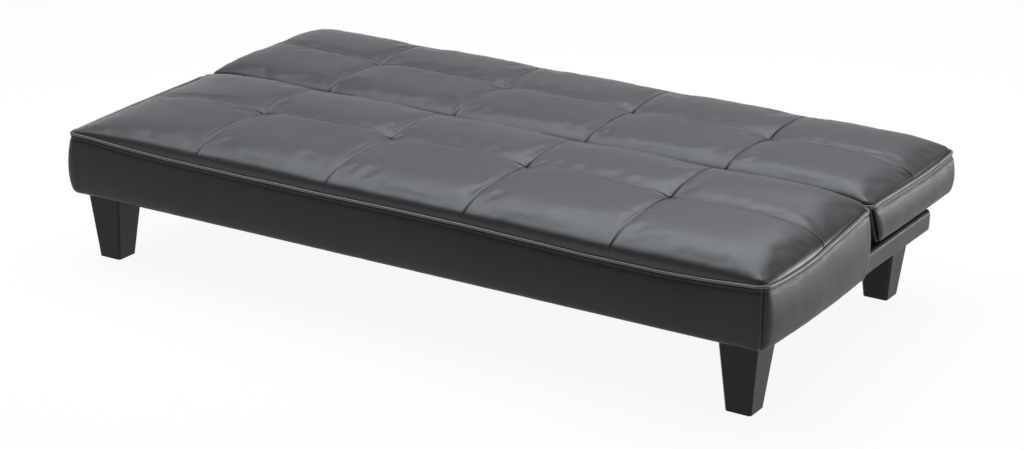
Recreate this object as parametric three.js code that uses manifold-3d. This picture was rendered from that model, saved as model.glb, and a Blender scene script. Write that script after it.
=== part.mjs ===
// Click clack sofa bed, shown flat as a bed. A low wooden base carries the sprung seat, and the backrest
// turns on two steel ratchet hinges. Millimetres, +X along the length, +Y to the back, +Z up, floor at z = 0.
// While the pieces are made, y = 0 is the front seam of the seat. The outer group then centres the depth.
import * as THREE from "three";
import { mergeVertices } from "three/addons/utils/BufferGeometryUtils.js";
import Module from "manifold-3d";

const wasm = await Module();
wasm.setup();

// Overall sizes. The heights are those of the seams over the tops of the legs.
const length = 1680;
const seatDepth = 478;
const backGap = 9;
const backDepth = 435;
const legHeight = 155;
const seatFrontHeight = 141;
const seatRearHeight = 148;
const backFrontHeight = 150;
const backRearHeight = 156;
const backLift = 57;
const frontCornerDip = 8;
const columns = 5;

// Gaps: a still fit between two pieces, and the room round pieces that move
const fit = 0.3;
const softFit = 1.3;
const clearance = 1.5;
const overrun = 60;

// Covers: vinyl with wadding, bulging between the piping and the lower edge
const cornerRadius = 26;
const bulge = 7;
const backFrontBulge = 3;
const lining = 14;
const thinLining = 8;
const pipeRadius = 3.3;
const panelFoot = 1.5;
const panelHead = 2.5;
const seamFold = 8;
const seamSlope = 9;
const slopeShare = 1.4;
const bulgeShares = [0.2, 0.45, 0.72];
const swellShares = [0.62, 1, 0.6];
const middleShare = 0.5;
const cornerShares = [0, 0.25, middleShare, 0.75, 1];
const pipeSides = 6;
const frontUndercut = 48;

// Cushion crown, tufts and sewn channels
const edgeRise = 11;
const edgeSpan = 3;
const crownRise = 32;
const crownSpan = 46;
const seatTuftShare = 0.531;
const backTuftShare = 0.499;
const tuftDip = 15;
const tuftReach = 26;
const channelDip = 4.5;
const channelReach = 15;
const edgeRing = 11;
const crownRing = 18;
const tuftShares = [0.13, 0.37, 0.67];
const endShares = [1, 1.37, 1.67];
const rowShares = [0.1, 0.28, 0.52, 0.76];

// Base frame
const dustSheet = 1.4;
const railThickness = 24;
const sideRailThickness = 30;
const seatRailHeight = 78;
const sillRailHeight = 41;
const sillSkin = 4;
const sillSetback = 101;
const sillRadius = 8;
const rearCoverLift = 4;
const railEase = 7;
const centreRailHeight = 66;
const blockHeight = 40;
const blockLength = 84;
const blockCut = 30;

// Legs
const legTop = 86;
const legFoot = 56;
const legEdge = 4;
const frontLegInset = 64;
const frontLegSetback = 66.5;
const rearLegInset = 92;
const rearLegSetback = 43;
const glideHeight = 3;
const glideRadius = 14;
const glideFlat = 11;
const boltRadius = 4;
const boltDepth = 42;
const washerRadius = 10;
const washerHeight = 1.7;
const nutRadius = 6.5;
const nutHeight = 6;

// Zigzag seat springs
const springCount = 6;
const springBends = 9;
const springWidth = 24;
const wireRadius = 1.8;
const springArch = 8;
const clipWidth = 22;
const clipLength = 14;
const bendShares = [0.2, 0.8];
const bendTension = 0.4;
const bendSteps = 4;
const wireSides = 5;

// Backrest frame
const backRailHeight = 74;
const backRailThickness = 24;
const lipDepth = 113;
const boardThickness = 3;
const underSheet = 1.5;
const underLift = 2.2;

// Ratchet hinge
const hingeSetback = 57;
const hingeHeight = 135;
const plate = 4;
const headRadius = 24;
const armHead = 20;
const pivotRadius = 5;
const pivotHead = 9;
const pivotHeadHeight = 4.2;
const stemFront = 3;
const stemWidth = 30;
const footFront = 39;
const footRear = 96;
const footHeight = 36;
const gusset = 30;
const armReach = 152;
const armDrop = 64;
const armRise = 6;
const screwRadius = 2.6;
const pawlY = 42;
const pawlDrop = 40;
const pawlBoss = 8;
const pawlPin = 3;
const pawlTurn = 7;
const toothHeight = 6;
const toothRamp = 5;
const hookShare = 1.4;
const spineShare = 0.55;
const heelShare = 0.8;
const footHoleShares = [0.14, 0.53, 0.88];
const armHoleShares = [0.25, 0.55, 0.85];
const ratchetStops = [0, 38, 72, 90];
const tabHeight = 8;
const tabThickness = 3;
const facets = 12;
const smallFacets = 6;
const headFacets = 24;

// Worked out from the sizes above
const halfLength = length / 2;
const backFront = seatDepth + backGap;
const bedDepth = backFront + backDepth;
const sillDepth = bedDepth - sillSetback;
const hingeY = backFront + hingeSetback;
const frontLegX = halfLength - frontLegInset;
const rearLegX = halfLength - rearLegInset;
const rearLegY = sillDepth - rearLegSetback;
const column = length / columns;
const tuftColumns = Array.from({ length: columns - 1 }, (_, i) => column * (i + 1) - halfLength);
const ringInsets = [pipeRadius * 2 + fit * 2, edgeRing, crownRing];
const seatEdgeFront = legHeight + seatFrontHeight;
const seatEdgeRear = legHeight + seatRearHeight;
const backEdgeFront = legHeight + backFrontHeight;
const backEdgeRear = legHeight + backRearHeight;
const backBottom = legHeight + backLift;
const hingeZ = legHeight + hingeHeight;
const underside = legHeight + fit;
const frameBottom = underside + dustSheet + fit;
const railOuter = halfLength - lining;
const railInner = railOuter - sideRailThickness;
const seatRailTop = frameBottom + seatRailHeight;
const sillRailTop = frameBottom + sillRailHeight;
const sillTop = sillRailTop + sillSkin;
const seatBackFace = seatDepth - thinLining;
const sillFace = sillDepth - sillSkin;
const backFrameFront = backFront + lipDepth;
const backFrameRear = bedDepth - lining;
const backFrameBottom = backBottom + underLift + underSheet + fit;
const backRailTop = backFrameBottom + backRailHeight;
const padOnBoard = backRailTop + fit + boardThickness + fit;
const plateInner = railInner - plate;
const armInner = railInner + fit * 2;
const backSideInner = armInner + plate + fit;

const vinyl = () => new THREE.MeshStandardMaterial({ color: 0x2a2a2c, roughness: 0.42, metalness: 0 });
const wood = () => new THREE.MeshStandardMaterial({ color: 0xb98f5e, roughness: 0.75, metalness: 0 });
const board = () => new THREE.MeshStandardMaterial({ color: 0x7a5433, roughness: 0.8, metalness: 0 });
const steel = () => new THREE.MeshStandardMaterial({ color: 0x8c8f93, roughness: 0.35, metalness: 1 });
const spring = () => new THREE.MeshStandardMaterial({ color: 0x9a9da1, roughness: 0.3, metalness: 1 });
const lacquer = () => new THREE.MeshStandardMaterial({ color: 0x18181a, roughness: 0.35, metalness: 0 });
const plastic = () => new THREE.MeshStandardMaterial({ color: 0x1c1c1c, roughness: 0.6, metalness: 0 });
const cloth = () => new THREE.MeshStandardMaterial({ color: 0x202022, roughness: 0.95, metalness: 0 });

// A closed body from vertices and triangles, with its faces turned outwards.
function closedBody(points, faces) {
  let volume = 0;
  for (const [a, b, c] of faces) volume += points[a].dot(points[b].clone().cross(points[c]));
  const turned = volume < 0 ? faces.map(([a, b, c]) => [a, c, b]) : faces;
  const geometry = new THREE.BufferGeometry();
  geometry.setAttribute("position", new THREE.Float32BufferAttribute(points.flatMap((p) => p.toArray()), 3));
  geometry.setIndex(turned.flat());
  geometry.computeVertexNormals();
  return geometry;
}

// three.js geometry to a solid that can be cut or joined, and back again.
function toSolid(geometry) {
  const bare = geometry.clone();
  bare.deleteAttribute("normal");
  bare.deleteAttribute("uv");
  const merged = mergeVertices(bare);
  return new wasm.Manifold(
    new wasm.Mesh({
      numProp: 3,
      vertProperties: merged.attributes.position.array,
      triVerts: new Uint32Array(merged.index.array),
    }),
  );
}

function toGeometry(solid) {
  const mesh = solid.getMesh();
  const geometry = new THREE.BufferGeometry();
  geometry.setAttribute("position", new THREE.BufferAttribute(new Float32Array(mesh.vertProperties), 3));
  geometry.setIndex(new THREE.BufferAttribute(new Uint32Array(mesh.triVerts), 1));
  geometry.computeVertexNormals();
  return geometry;
}

// A geometry mirrored across x = 0, with its faces turned back outwards.
function mirrored(geometry) {
  const source = geometry.index ? geometry.toNonIndexed() : geometry;
  const positions = source.attributes.position;
  const points = [];
  const faces = [];
  for (let i = 0; i < positions.count; i++)
    points.push(new THREE.Vector3(-positions.getX(i), positions.getY(i), positions.getZ(i)));
  for (let i = 0; i < positions.count; i += 3) faces.push([i, i + 1, i + 2]);
  return closedBody(points, faces);
}

const cut = (geometry, ...tools) =>
  toGeometry(tools.reduce((solid, tool) => solid.subtract(toSolid(tool)), toSolid(geometry)));
const join = (geometry, ...others) =>
  toGeometry(others.reduce((solid, other) => solid.add(toSolid(other)), toSolid(geometry)));

// A box given by its lowest and highest corners.
function block(x0, x1, y0, y1, z0, z1) {
  const geometry = new THREE.BoxGeometry(x1 - x0, y1 - y0, z1 - z0);
  return geometry.translate((x0 + x1) / 2, (y0 + y1) / 2, (z0 + z1) / 2);
}

// A round bar along z, and one along x.
function barZ(x, y, z0, z1, radius) {
  const geometry = new THREE.CylinderGeometry(radius, radius, z1 - z0, facets);
  return geometry.rotateX(Math.PI / 2).translate(x, y, (z0 + z1) / 2);
}

function barX(x0, x1, y, z, radius, sides = facets) {
  const geometry = new THREE.CylinderGeometry(radius, radius, x1 - x0, sides);
  return geometry.rotateZ(Math.PI / 2).translate((x0 + x1) / 2, y, z);
}

// An outline drawn in y and z, made thick along x.
function plateOf(outline, x0, x1) {
  const shape = outline instanceof THREE.Shape ? outline : new THREE.Shape(outline);
  const geometry = new THREE.ExtrudeGeometry(shape, {
    depth: x1 - x0,
    bevelEnabled: false,
    curveSegments: facets,
  });
  const upright = new THREE.Matrix4().makeBasis(
    new THREE.Vector3(0, 1, 0),
    new THREE.Vector3(0, 0, 1),
    new THREE.Vector3(1, 0, 0),
  );
  return geometry.applyMatrix4(upright).translate(x0, 0, 0);
}

const at = (y, z) => new THREE.Vector2(y, z);

// The x range of a piece on the right (side 1) or left (side -1), from its inner and outer face.
const sided = (side, inner, outer) => (side > 0 ? [inner, outer] : [-outer, -inner]);

// Stations round a box with rounded corners, seen from above, counterclockwise from the front left corner.
// Each knows its outward normal, the depth of the lining behind it and how far its cover bulges.
function stationsOf(box, keysX, keysY) {
  const { x0, x1, y0, y1, radius, linings, bulges } = box;
  const list = [];
  const corner = (cx, cy, start, from, to, front) => {
    for (const turn of cornerShares) {
      const angle = start + (turn * Math.PI) / 2;
      const n = new THREE.Vector2(Math.cos(angle), Math.sin(angle));
      list.push({
        x: cx + n.x * radius,
        y: cy + n.y * radius,
        nx: n.x,
        ny: n.y,
        front,
        ways: [cx > 0 ? 1 : -1, front ? -1 : 1],
        middle: turn === middleShare,
        bulge: bulges[from] + (bulges[to] - bulges[from]) * turn,
        lining: linings,
        radius,
      });
    }
  };
  const straight = (keys, place, nx, ny, side, front) => {
    for (const key of keys)
      list.push({ ...place(key), nx, ny, front, bulge: bulges[side], lining: linings, radius: 0 });
  };
  const back = (keys) => [...keys].reverse();
  corner(x0 + radius, y0 + radius, Math.PI, "left", "front", true);
  straight(keysX, (x) => ({ x, y: y0 }), 0, -1, "front", true);
  corner(x1 - radius, y0 + radius, -Math.PI / 2, "front", "right", true);
  straight(keysY, (y) => ({ x: x1, y }), 1, 0, "right", false);
  corner(x1 - radius, y1 - radius, 0, "right", "rear", false);
  straight(back(keysX), (x) => ({ x, y: y1 }), 0, 1, "rear", false);
  corner(x0 + radius, y1 - radius, Math.PI / 2, "rear", "left", false);
  straight(back(keysY), (y) => ({ x: x0, y }), -1, 0, "left", false);
  return list;
}

// The spot so far inside the outline at a station.
const inside = (station, inset) =>
  new THREE.Vector2(station.x - station.nx * inset, station.y - station.ny * inset);

// How far a spot lies inside the outline, measured along a station's normal.
const depthAt = (station, spot) => (station.x - spot.x) * station.nx + (station.y - spot.y) * station.ny;

// The spot at a station on a box with square corners, which lies behind the lining by so much more.
function squared(station, extra) {
  const { nx, ny, radius, lining: depths } = station;
  const reachX = radius - (nx > 0 ? depths.right : depths.left) - extra;
  const reachY = radius - (ny > 0 ? depths.rear : depths.front) - extra;
  if (radius === 0) return inside(station, nx === 0 ? -reachY : -reachX);
  const centre = inside(station, radius);
  if (reachX <= 0 || reachY <= 0)
    return centre.add(new THREE.Vector2(station.ways[0] * reachX, station.ways[1] * reachY));
  const reaches = [];
  if (Math.abs(nx) > Math.abs(ny) || station.middle) reaches.push(reachX / Math.abs(nx));
  if (Math.abs(ny) > Math.abs(nx) || station.middle) reaches.push(reachY / Math.abs(ny));
  return inside(station, radius - Math.min(...reaches));
}

// The point over a station's spot at a height. A leaning front moves back lower down, and the side
// stations behind it share the shift up to the tuft row.
function placeAt(box, station, spot, z) {
  const start = box.y0 + box.radius;
  const behind = Math.max((box.tuftRow - station.y) / (box.tuftRow - start), 0);
  const share = station.front ? 1 : Math.min(behind, 1);
  const lean = box.lean ? box.lean(z) * share : 0;
  return new THREE.Vector3(spot.x, spot.y + lean, z);
}

// A cover or a piping: one section carried along stations, capped at both ends unless it closes on itself.
function sweep(box, stations, sectionOf, closed) {
  const rings = stations.map((station) =>
    sectionOf(station).map(([spot, z]) => placeAt(box, station, spot, z)),
  );
  if (!closed) {
    for (const [end, next] of [[0, 1], [rings.length - 1, rings.length - 2]]) {
      const along = rings[next][0].clone().sub(rings[end][0]).setZ(0).normalize().multiplyScalar(fit / 2);
      rings[end].forEach((point) => point.add(along));
    }
  }
  const size = rings[0].length;
  const faces = [];
  const last = closed ? rings.length : rings.length - 1;
  for (let i = 0; i < last; i++)
    for (let j = 0; j < size; j++) {
      const [a, b] = [i * size + j, i * size + ((j + 1) % size)];
      const [c, d] = [a, b].map((k) => (k + size) % (rings.length * size));
      faces.push([a, b, d], [a, d, c]);
    }
  if (!closed) {
    const flat = sectionOf(stations[0]).map(([spot, z]) => new THREE.Vector2(depthAt(stations[0], spot), z));
    const start = (rings.length - 1) * size;
    for (const [a, b, c] of THREE.ShapeUtils.triangulateShape(flat, [])) {
      const turned = THREE.ShapeUtils.isClockWise(flat);
      faces.push(turned ? [a, b, c] : [a, c, b]);
      faces.push(turned ? [start + a, start + c, start + b] : [start + a, start + b, start + c]);
    }
    return orient(rings.flat(), faces);
  }
  return closedBody(rings.flat(), faces);
}

// Turns the end caps of a sweep the same way as its walls, by the edges that they share.
function orient(points, faces) {
  const edges = new Map();
  const key = (a, b) => a * points.length + b;
  faces.forEach((face, i) => {
    for (let k = 0; k < 3; k++) {
      const [a, b] = [face[k], face[(k + 1) % 3]];
      const both = key(Math.min(a, b), Math.max(a, b));
      if (!edges.has(both)) edges.set(both, []);
      edges.get(both).push(i);
    }
  });
  const has = (face, a, b) => [0, 1, 2].some((k) => face[k] === a && face[(k + 1) % 3] === b);
  const done = new Set([0]);
  const queue = [0];
  while (queue.length) {
    const i = queue.pop();
    for (let k = 0; k < 3; k++) {
      const [a, b] = [faces[i][k], faces[i][(k + 1) % 3]];
      for (const j of edges.get(key(Math.min(a, b), Math.max(a, b)))) {
        if (done.has(j)) continue;
        if (has(faces[j], a, b)) faces[j] = [faces[j][0], faces[j][2], faces[j][1]];
        done.add(j);
        queue.push(j);
      }
    }
  }
  return closedBody(points, faces);
}

// The height of the sewn edge between the top and the side covers.
function edgeHeight(box, x, y) {
  const along = Math.min(Math.max((y - box.y0) / (box.y1 - box.y0), 0), 1);
  const outer = tuftColumns[tuftColumns.length - 1];
  const dip = Math.max(Math.abs(x) - outer, 0) / (halfLength - outer);
  return box.edgeFront + (box.edgeRear - box.edgeFront) * along - box.dip * dip * (1 - along);
}

// How far a point of the top lies inside the rounded outline.
function insetOf(box, x, y) {
  const qx = Math.abs(x - (box.x0 + box.x1) / 2) - (box.x1 - box.x0) / 2 + box.radius;
  const qy = Math.abs(y - (box.y0 + box.y1) / 2) - (box.y1 - box.y0) / 2 + box.radius;
  return box.radius - Math.hypot(Math.max(qx, 0), Math.max(qy, 0)) - Math.min(Math.max(qx, qy), 0);
}

const fade = (distance, span) => Math.exp(-Math.abs(distance) / span);

// The height of a cushion's top: it rises from the piping to a crown, is drawn down by a stitch at each
// tuft, and dips along the channels sewn through the tufts.
function crownHeight(box, x, y) {
  const start = ringInsets[0];
  const inset = insetOf(box, x, y) - start;
  const sides = [x - box.x0, box.x1 - x, y - box.y0, box.y1 - y];
  const full = sides.reduce((part, side) => part * (1 - fade(Math.max(side - start, 0), crownSpan)), 1);
  const rise = edgeRise * (1 - fade(inset, edgeSpan)) + crownRise * full;
  const nearest = Math.min(...tuftColumns.map((tuft) => Math.abs(x - tuft)));
  const reach = 1 - fade(inset, crownSpan);
  const channel = Math.max(fade(nearest, channelReach), fade(y - box.tuftRow, channelReach));
  const tuft = fade(Math.hypot(nearest, y - box.tuftRow), tuftReach);
  const dips = tuftDip * tuft + channelDip * channel * reach;
  return edgeHeight(box, x, y) + rise - dips;
}

// The lines of a cushion's grid, close together where the tufts draw the cover in.
function gridOf(box) {
  const half = column / 2;
  const xs = new Set([box.x0 + box.radius, box.x1 - box.radius]);
  for (const tuft of tuftColumns) {
    xs.add(tuft);
    for (const share of tuftShares) [-share, share].forEach((s) => xs.add(tuft + s * half));
  }
  for (let i = 0; i < columns; i++) xs.add((i - (columns - 1) / 2) * column);
  const outer = tuftColumns[tuftColumns.length - 1];
  for (const share of endShares) [-1, 1].forEach((s) => xs.add(s * (outer + share * half)));
  const ys = new Set([box.y0 + box.radius, box.y1 - box.radius, box.tuftRow]);
  for (const end of [box.y0 + box.radius, box.y1 - box.radius])
    for (const share of rowShares) ys.add(box.tuftRow + (end - box.tuftRow) * share);
  const apart = (value, i, all) => i === 0 || value - all[i - 1] > fit;
  const sorted = (set) => [...set].sort((a, b) => a - b).filter(apart);
  return { xs: sorted(xs), ys: sorted(ys) };
}

// A cushion as one closed body: crowned top, edge rings round the rounded corners, lined sides, flat bottom.
function cushion(box, bottom) {
  const { xs, ys } = gridOf(box);
  const stations = stationsOf(box, xs.slice(1, -1), ys.slice(1, -1));
  const points = [];
  const faces = [];
  const add = (point) => points.push(point) - 1;
  const rings = ringInsets.map((inset, ring) =>
    stations.map((station) => {
      const spot = inside(station, inset);
      const z = ring === 0 ? edgeHeight(box, station.x, station.y) : crownHeight(box, spot.x, spot.y);
      return add(placeAt(box, station, spot, z));
    }),
  );
  const shoulder = stations.map((station) => {
    const z = edgeHeight(box, station.x, station.y) - pipeRadius - seamSlope;
    return add(placeAt(box, station, squared(station, softFit), z));
  });
  const foot = stations.map((station) => add(placeAt(box, station, squared(station, softFit), bottom)));
  const count = stations.length;
  const band = (outer, inner) => {
    for (let i = 0; i < count; i++) {
      const j = (i + 1) % count;
      if (outer[i] === outer[j]) faces.push([outer[i], inner[j], inner[i]]);
      else if (inner[i] === inner[j]) faces.push([outer[i], outer[j], inner[i]]);
      else faces.push([outer[i], outer[j], inner[j]], [outer[i], inner[j], inner[i]]);
    }
  };
  const grid = ys.map((y) => xs.map((x) => add(new THREE.Vector3(x, y, crownHeight(box, x, y)))));
  const [nx, ny] = [xs.length - 1, ys.length - 1];
  const corner = (vertex) => cornerShares.map(() => vertex);
  const rim = [
    ...corner(grid[0][0]),
    ...grid[0].slice(1, nx),
    ...corner(grid[0][nx]),
    ...grid.slice(1, ny).map((row) => row[nx]),
    ...corner(grid[ny][nx]),
    ...grid[ny].slice(1, nx).reverse(),
    ...corner(grid[ny][0]),
    ...grid.slice(1, ny).map((row) => row[0]).reverse(),
  ];
  band(foot, shoulder);
  band(shoulder, rings[0]);
  for (let r = 1; r < rings.length; r++) band(rings[r - 1], rings[r]);
  band(rings[rings.length - 1], rim);
  for (let j = 0; j < ny; j++)
    for (let i = 0; i < nx; i++) {
      const [a, b, c, d] = [grid[j][i], grid[j][i + 1], grid[j + 1][i + 1], grid[j + 1][i]];
      faces.push([a, b, c], [a, c, d]);
    }
  const flat = foot.map((k) => new THREE.Vector2(points[k].x, points[k].y));
  const under = THREE.ShapeUtils.triangulateShape(flat, []);
  for (const [a, b, c] of under) faces.push([foot[a], foot[c], foot[b]]);
  return orient(points, faces);
}

// The four side covers of a box, each from the middle of one corner to the middle of the next.
function sideCovers(box, bottomOf) {
  const stations = stationsOf(box, tuftColumns, []);
  const middles = stations.map((station, i) => (station.middle ? i : -1)).filter((i) => i >= 0);
  const names = ["front", "right", "rear", "left"];
  const covers = {};
  names.forEach((name, k) => {
    const from = middles[k];
    const to = middles[(k + 1) % names.length];
    const run =
      to > from ? stations.slice(from, to + 1) : [...stations.slice(from), ...stations.slice(0, to + 1)];
    covers[name] = sweep(box, run, (station) => coverSection(box, station, bottomOf(name)), false);
  });
  return covers;
}

// One cover in section: full at mid height, drawn in at the piping and at the lower edge.
function coverSection(box, station, bottom) {
  const top = edgeHeight(box, station.x, station.y) - pipeRadius - fit;
  const behind = squared(station, -fit);
  const cushionFall = (pipeRadius + fit) / (pipeRadius + seamSlope);
  const depth = squared(station, 0).distanceTo(station);
  const cushionInset = ringInsets[0] + (depth - ringInsets[0]) * cushionFall;
  const height = top - bottom;
  return [
    [inside(station, panelFoot), bottom],
    ...bulgeShares.map((share, i) => [
      inside(station, -station.bulge * swellShares[i]),
      bottom + height * share,
    ]),
    [inside(station, panelHead), top],
    [inside(station, Math.min(seamFold, cushionInset - softFit)), top],
    [behind, top - seamSlope * slopeShare],
    [behind, bottom],
  ];
}

// The piping: a round cord sewn into the seam all round the cushion.
function piping(box) {
  const stations = stationsOf(box, tuftColumns, []);
  const section = (station) => {
    const z = edgeHeight(box, station.x, station.y);
    return Array.from({ length: pipeSides }, (_, i) => {
      const angle = (i / pipeSides) * Math.PI * 2 + Math.PI / 2;
      return [inside(station, pipeRadius + Math.cos(angle) * pipeRadius), z + Math.sin(angle) * pipeRadius];
    });
  };
  return sweep(box, stations, section, true);
}

const parts = [];
const piece = (name, geometry, material) => {
  const mesh = new THREE.Mesh(geometry, material);
  mesh.name = name;
  parts.push(mesh);
  return mesh;
};
const sides = [["left", -1], ["right", 1]];
const base = new THREE.Group();
const backrest = new THREE.Group();
const pawls = new THREE.Group();

// Seat: foam cushion with its top cover, four side covers, piping
const seatBox = {
  x0: -halfLength,
  x1: halfLength,
  y0: 0,
  y1: seatDepth,
  radius: cornerRadius,
  linings: { front: lining, rear: thinLining, left: lining, right: lining },
  bulges: { front: bulge, rear: 0, left: bulge, right: bulge },
  edgeFront: seatEdgeFront,
  edgeRear: seatEdgeRear,
  dip: frontCornerDip,
  tuftRow: seatDepth * seatTuftShare,
};
const springHollow = seatRailTop + fit * 2 + wireRadius * 2 + springArch + fit;
const clipInset = (railThickness - clipLength) / 2 - fit;
const seatHollow = block(
  -railInner,
  railInner,
  lining + clipInset,
  seatBackFace - clipInset,
  frameBottom,
  springHollow,
);
base.add(piece("seat_pad", cut(cushion(seatBox, seatRailTop + fit), seatHollow), vinyl()));
const seatCovers = sideCovers(seatBox, (name) =>
  name === "rear" ? sillTop + rearCoverLift : underside,
);
for (const [name, geometry] of Object.entries(seatCovers))
  base.add(piece(`seat_${name}_cover`, geometry, vinyl()));
base.add(piece("seat_piping", piping(seatBox), vinyl()));

// Base frame: the front rail laps the ends of the side rails, the others stand between them. The side rails
// step down behind the seat, just short of the folds of its rear corner seams.
const sideRail = [
  at(lining + railThickness + fit, frameBottom),
  at(sillFace, frameBottom),
  at(sillFace, sillRailTop),
  at(seatBackFace - railEase, sillRailTop),
  at(seatBackFace - railEase, seatRailTop),
  at(lining + railThickness + fit, seatRailTop),
];
for (const [name, side] of sides)
  base.add(piece(`base_${name}_rail`, plateOf(sideRail, ...sided(side, railInner, railOuter)), wood()));
const innerX = railInner - fit;
base.add(
  piece(
    "base_front_rail",
    block(-railOuter, railOuter, lining, lining + railThickness, frameBottom, seatRailTop),
    wood(),
  ),
  piece(
    "seat_rear_rail",
    block(-innerX, innerX, seatBackFace - railThickness, seatBackFace, frameBottom, seatRailTop),
    wood(),
  ),
  piece(
    "sill_rear_rail",
    block(-innerX, innerX, sillFace - railThickness, sillFace, frameBottom, sillRailTop),
    wood(),
  ),
  piece(
    "seat_centre_rail",
    block(
      -railThickness / 2,
      railThickness / 2,
      lining + railThickness + fit,
      seatBackFace - railThickness - fit,
      frameBottom,
      frameBottom + centreRailHeight,
    ),
    wood(),
  ),
);

// Corner blocks, each with the bolt that holds its leg. The rear ones stay clear of the hinges' feet.
function cornerBlock(x, y, limit, railY, way) {
  const outerX = Math.min(limit, x + blockLength / 2);
  const inner = outerX - blockLength;
  const far = railY + way * blockLength;
  const outline = new THREE.Shape([
    at(outerX, railY),
    at(outerX, far),
    at(inner + blockCut, far),
    at(inner, far - way * blockCut),
    at(inner, railY),
  ]);
  const solid = new THREE.ExtrudeGeometry(outline, { depth: blockHeight, bevelEnabled: false });
  solid.translate(0, 0, frameBottom);
  return cut(solid, barZ(x, y, frameBottom - overrun, frameBottom + blockHeight + overrun, boltRadius + fit));
}

function legBolt(x, y) {
  const seat = frameBottom + blockHeight + fit;
  const outline = [
    at(0, legHeight - boltDepth),
    at(boltRadius, legHeight - boltDepth),
    at(boltRadius, seat),
    at(washerRadius, seat),
    at(washerRadius, seat + washerHeight),
    at(nutRadius, seat + washerHeight),
    at(nutRadius, seat + washerHeight + nutHeight),
    at(0, seat + washerHeight + nutHeight),
  ];
  return new THREE.LatheGeometry(outline, smallFacets).rotateX(Math.PI / 2).translate(x, y, 0);
}

// A tapered square leg with eased edges, bored for its bolt
function leg(x, y) {
  const levels = [[glideHeight, legFoot], [legHeight, legTop]];
  const turns = [[1, 1], [-1, 1], [-1, -1], [1, -1]];
  const points = levels.flatMap(([z, size]) =>
    turns.flatMap(([sx, sy]) => {
      const half = size / 2;
      const first = new THREE.Vector3(x + sx * half, y + sy * (half - legEdge), z);
      const second = new THREE.Vector3(x + sx * (half - legEdge), y + sy * half, z);
      return sx * sy > 0 ? [first, second] : [second, first];
    }),
  );
  const count = points.length / levels.length;
  const faces = [];
  for (let i = 0; i < count; i++) {
    const j = (i + 1) % count;
    faces.push([i, j, count + j], [i, count + j, count + i]);
  }
  for (let i = 1; i < count - 1; i++) faces.push([0, i + 1, i], [count, count + i, count + i + 1]);
  const bore = barZ(x, y, legHeight - boltDepth - fit, legHeight + overrun, boltRadius + fit);
  return cut(closedBody(points, faces), bore);
}

function glide(x, y) {
  const top = glideHeight - fit;
  const outline = [at(0, 0), at(glideFlat, 0), at(glideRadius, top / 2), at(glideRadius, top), at(0, top)];
  return new THREE.LatheGeometry(outline, facets).rotateX(Math.PI / 2).translate(x, y, 0);
}

const dustHoles = [];
for (const [name, side] of sides)
  for (const [end, legX, legY, limit, railY, way] of [
    ["front", frontLegX, frontLegSetback, innerX, lining + railThickness + fit, 1],
    ["rear", rearLegX, rearLegY, plateInner - fit, sillFace - railThickness - fit, -1],
  ]) {
    const x = side * legX;
    const blockGeometry = cornerBlock(legX, legY, limit, railY, way);
    const cornerGeometry = side > 0 ? blockGeometry : mirrored(blockGeometry);
    base.add(
      piece(`${end}_${name}_block`, cornerGeometry, wood()),
      piece(`${end}_${name}_leg`, leg(x, legY), lacquer()),
      piece(`${end}_${name}_bolt`, legBolt(x, legY), steel()),
      piece(`${end}_${name}_glide`, glide(x, legY), plastic()),
    );
    dustHoles.push(barZ(x, legY, 0, frameBottom + overrun, boltRadius + fit));
  }

const dustCover = block(
  -railOuter + fit,
  railOuter - fit,
  lining + fit,
  sillFace - fit,
  underside,
  underside + dustSheet,
);
base.add(piece("dust_cover", cut(dustCover, ...dustHoles), cloth()));

// Sill: vinyl wrapped over the low rear part of the frame, under the backrest
const sillBox = {
  x0: -railOuter - sillSkin,
  x1: railOuter + sillSkin,
  y0: -sillDepth,
  y1: sillDepth,
  radius: sillRadius,
  linings: { front: sillSkin, rear: sillSkin, left: sillSkin, right: sillSkin },
  bulges: { front: 0, rear: 0, left: 0, right: 0 },
};
const sillStart = seatDepth - thinLining + fit;
function sillSection(station) {
  const wrap = squared(station, railThickness - fit);
  const behind = squared(station, -fit);
  const ease = sillRadius * (1 - Math.SQRT1_2);
  return [
    [inside(station, 0), underside],
    [inside(station, 0), sillTop - sillRadius],
    [inside(station, ease), sillTop - ease],
    [inside(station, sillRadius), sillTop],
    [wrap, sillTop],
    [wrap, sillRailTop + fit],
    [behind, sillRailTop + fit],
    [behind, underside],
  ];
}
const sillStations = stationsOf(sillBox, [0], [sillStart]);
const sillMiddles = sillStations.map((station, i) => (station.middle ? i : -1)).filter((i) => i >= 0);
const rightStart = sillStations.findIndex((station) => station.nx === 1 && station.y === sillStart);
const leftEnd = sillStations.findLastIndex((station) => station.nx === -1 && station.y === sillStart);
const sillRuns = [
  ["right", rightStart, sillMiddles[2]],
  ["rear", sillMiddles[2], sillMiddles[3]],
  ["left", sillMiddles[3], leftEnd],
];
for (const [name, from, to] of sillRuns) {
  const run = sillStations.slice(from, to + 1);
  base.add(piece(`sill_${name}_cover`, sweep(sillBox, run, sillSection, false), vinyl()));
}

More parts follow.
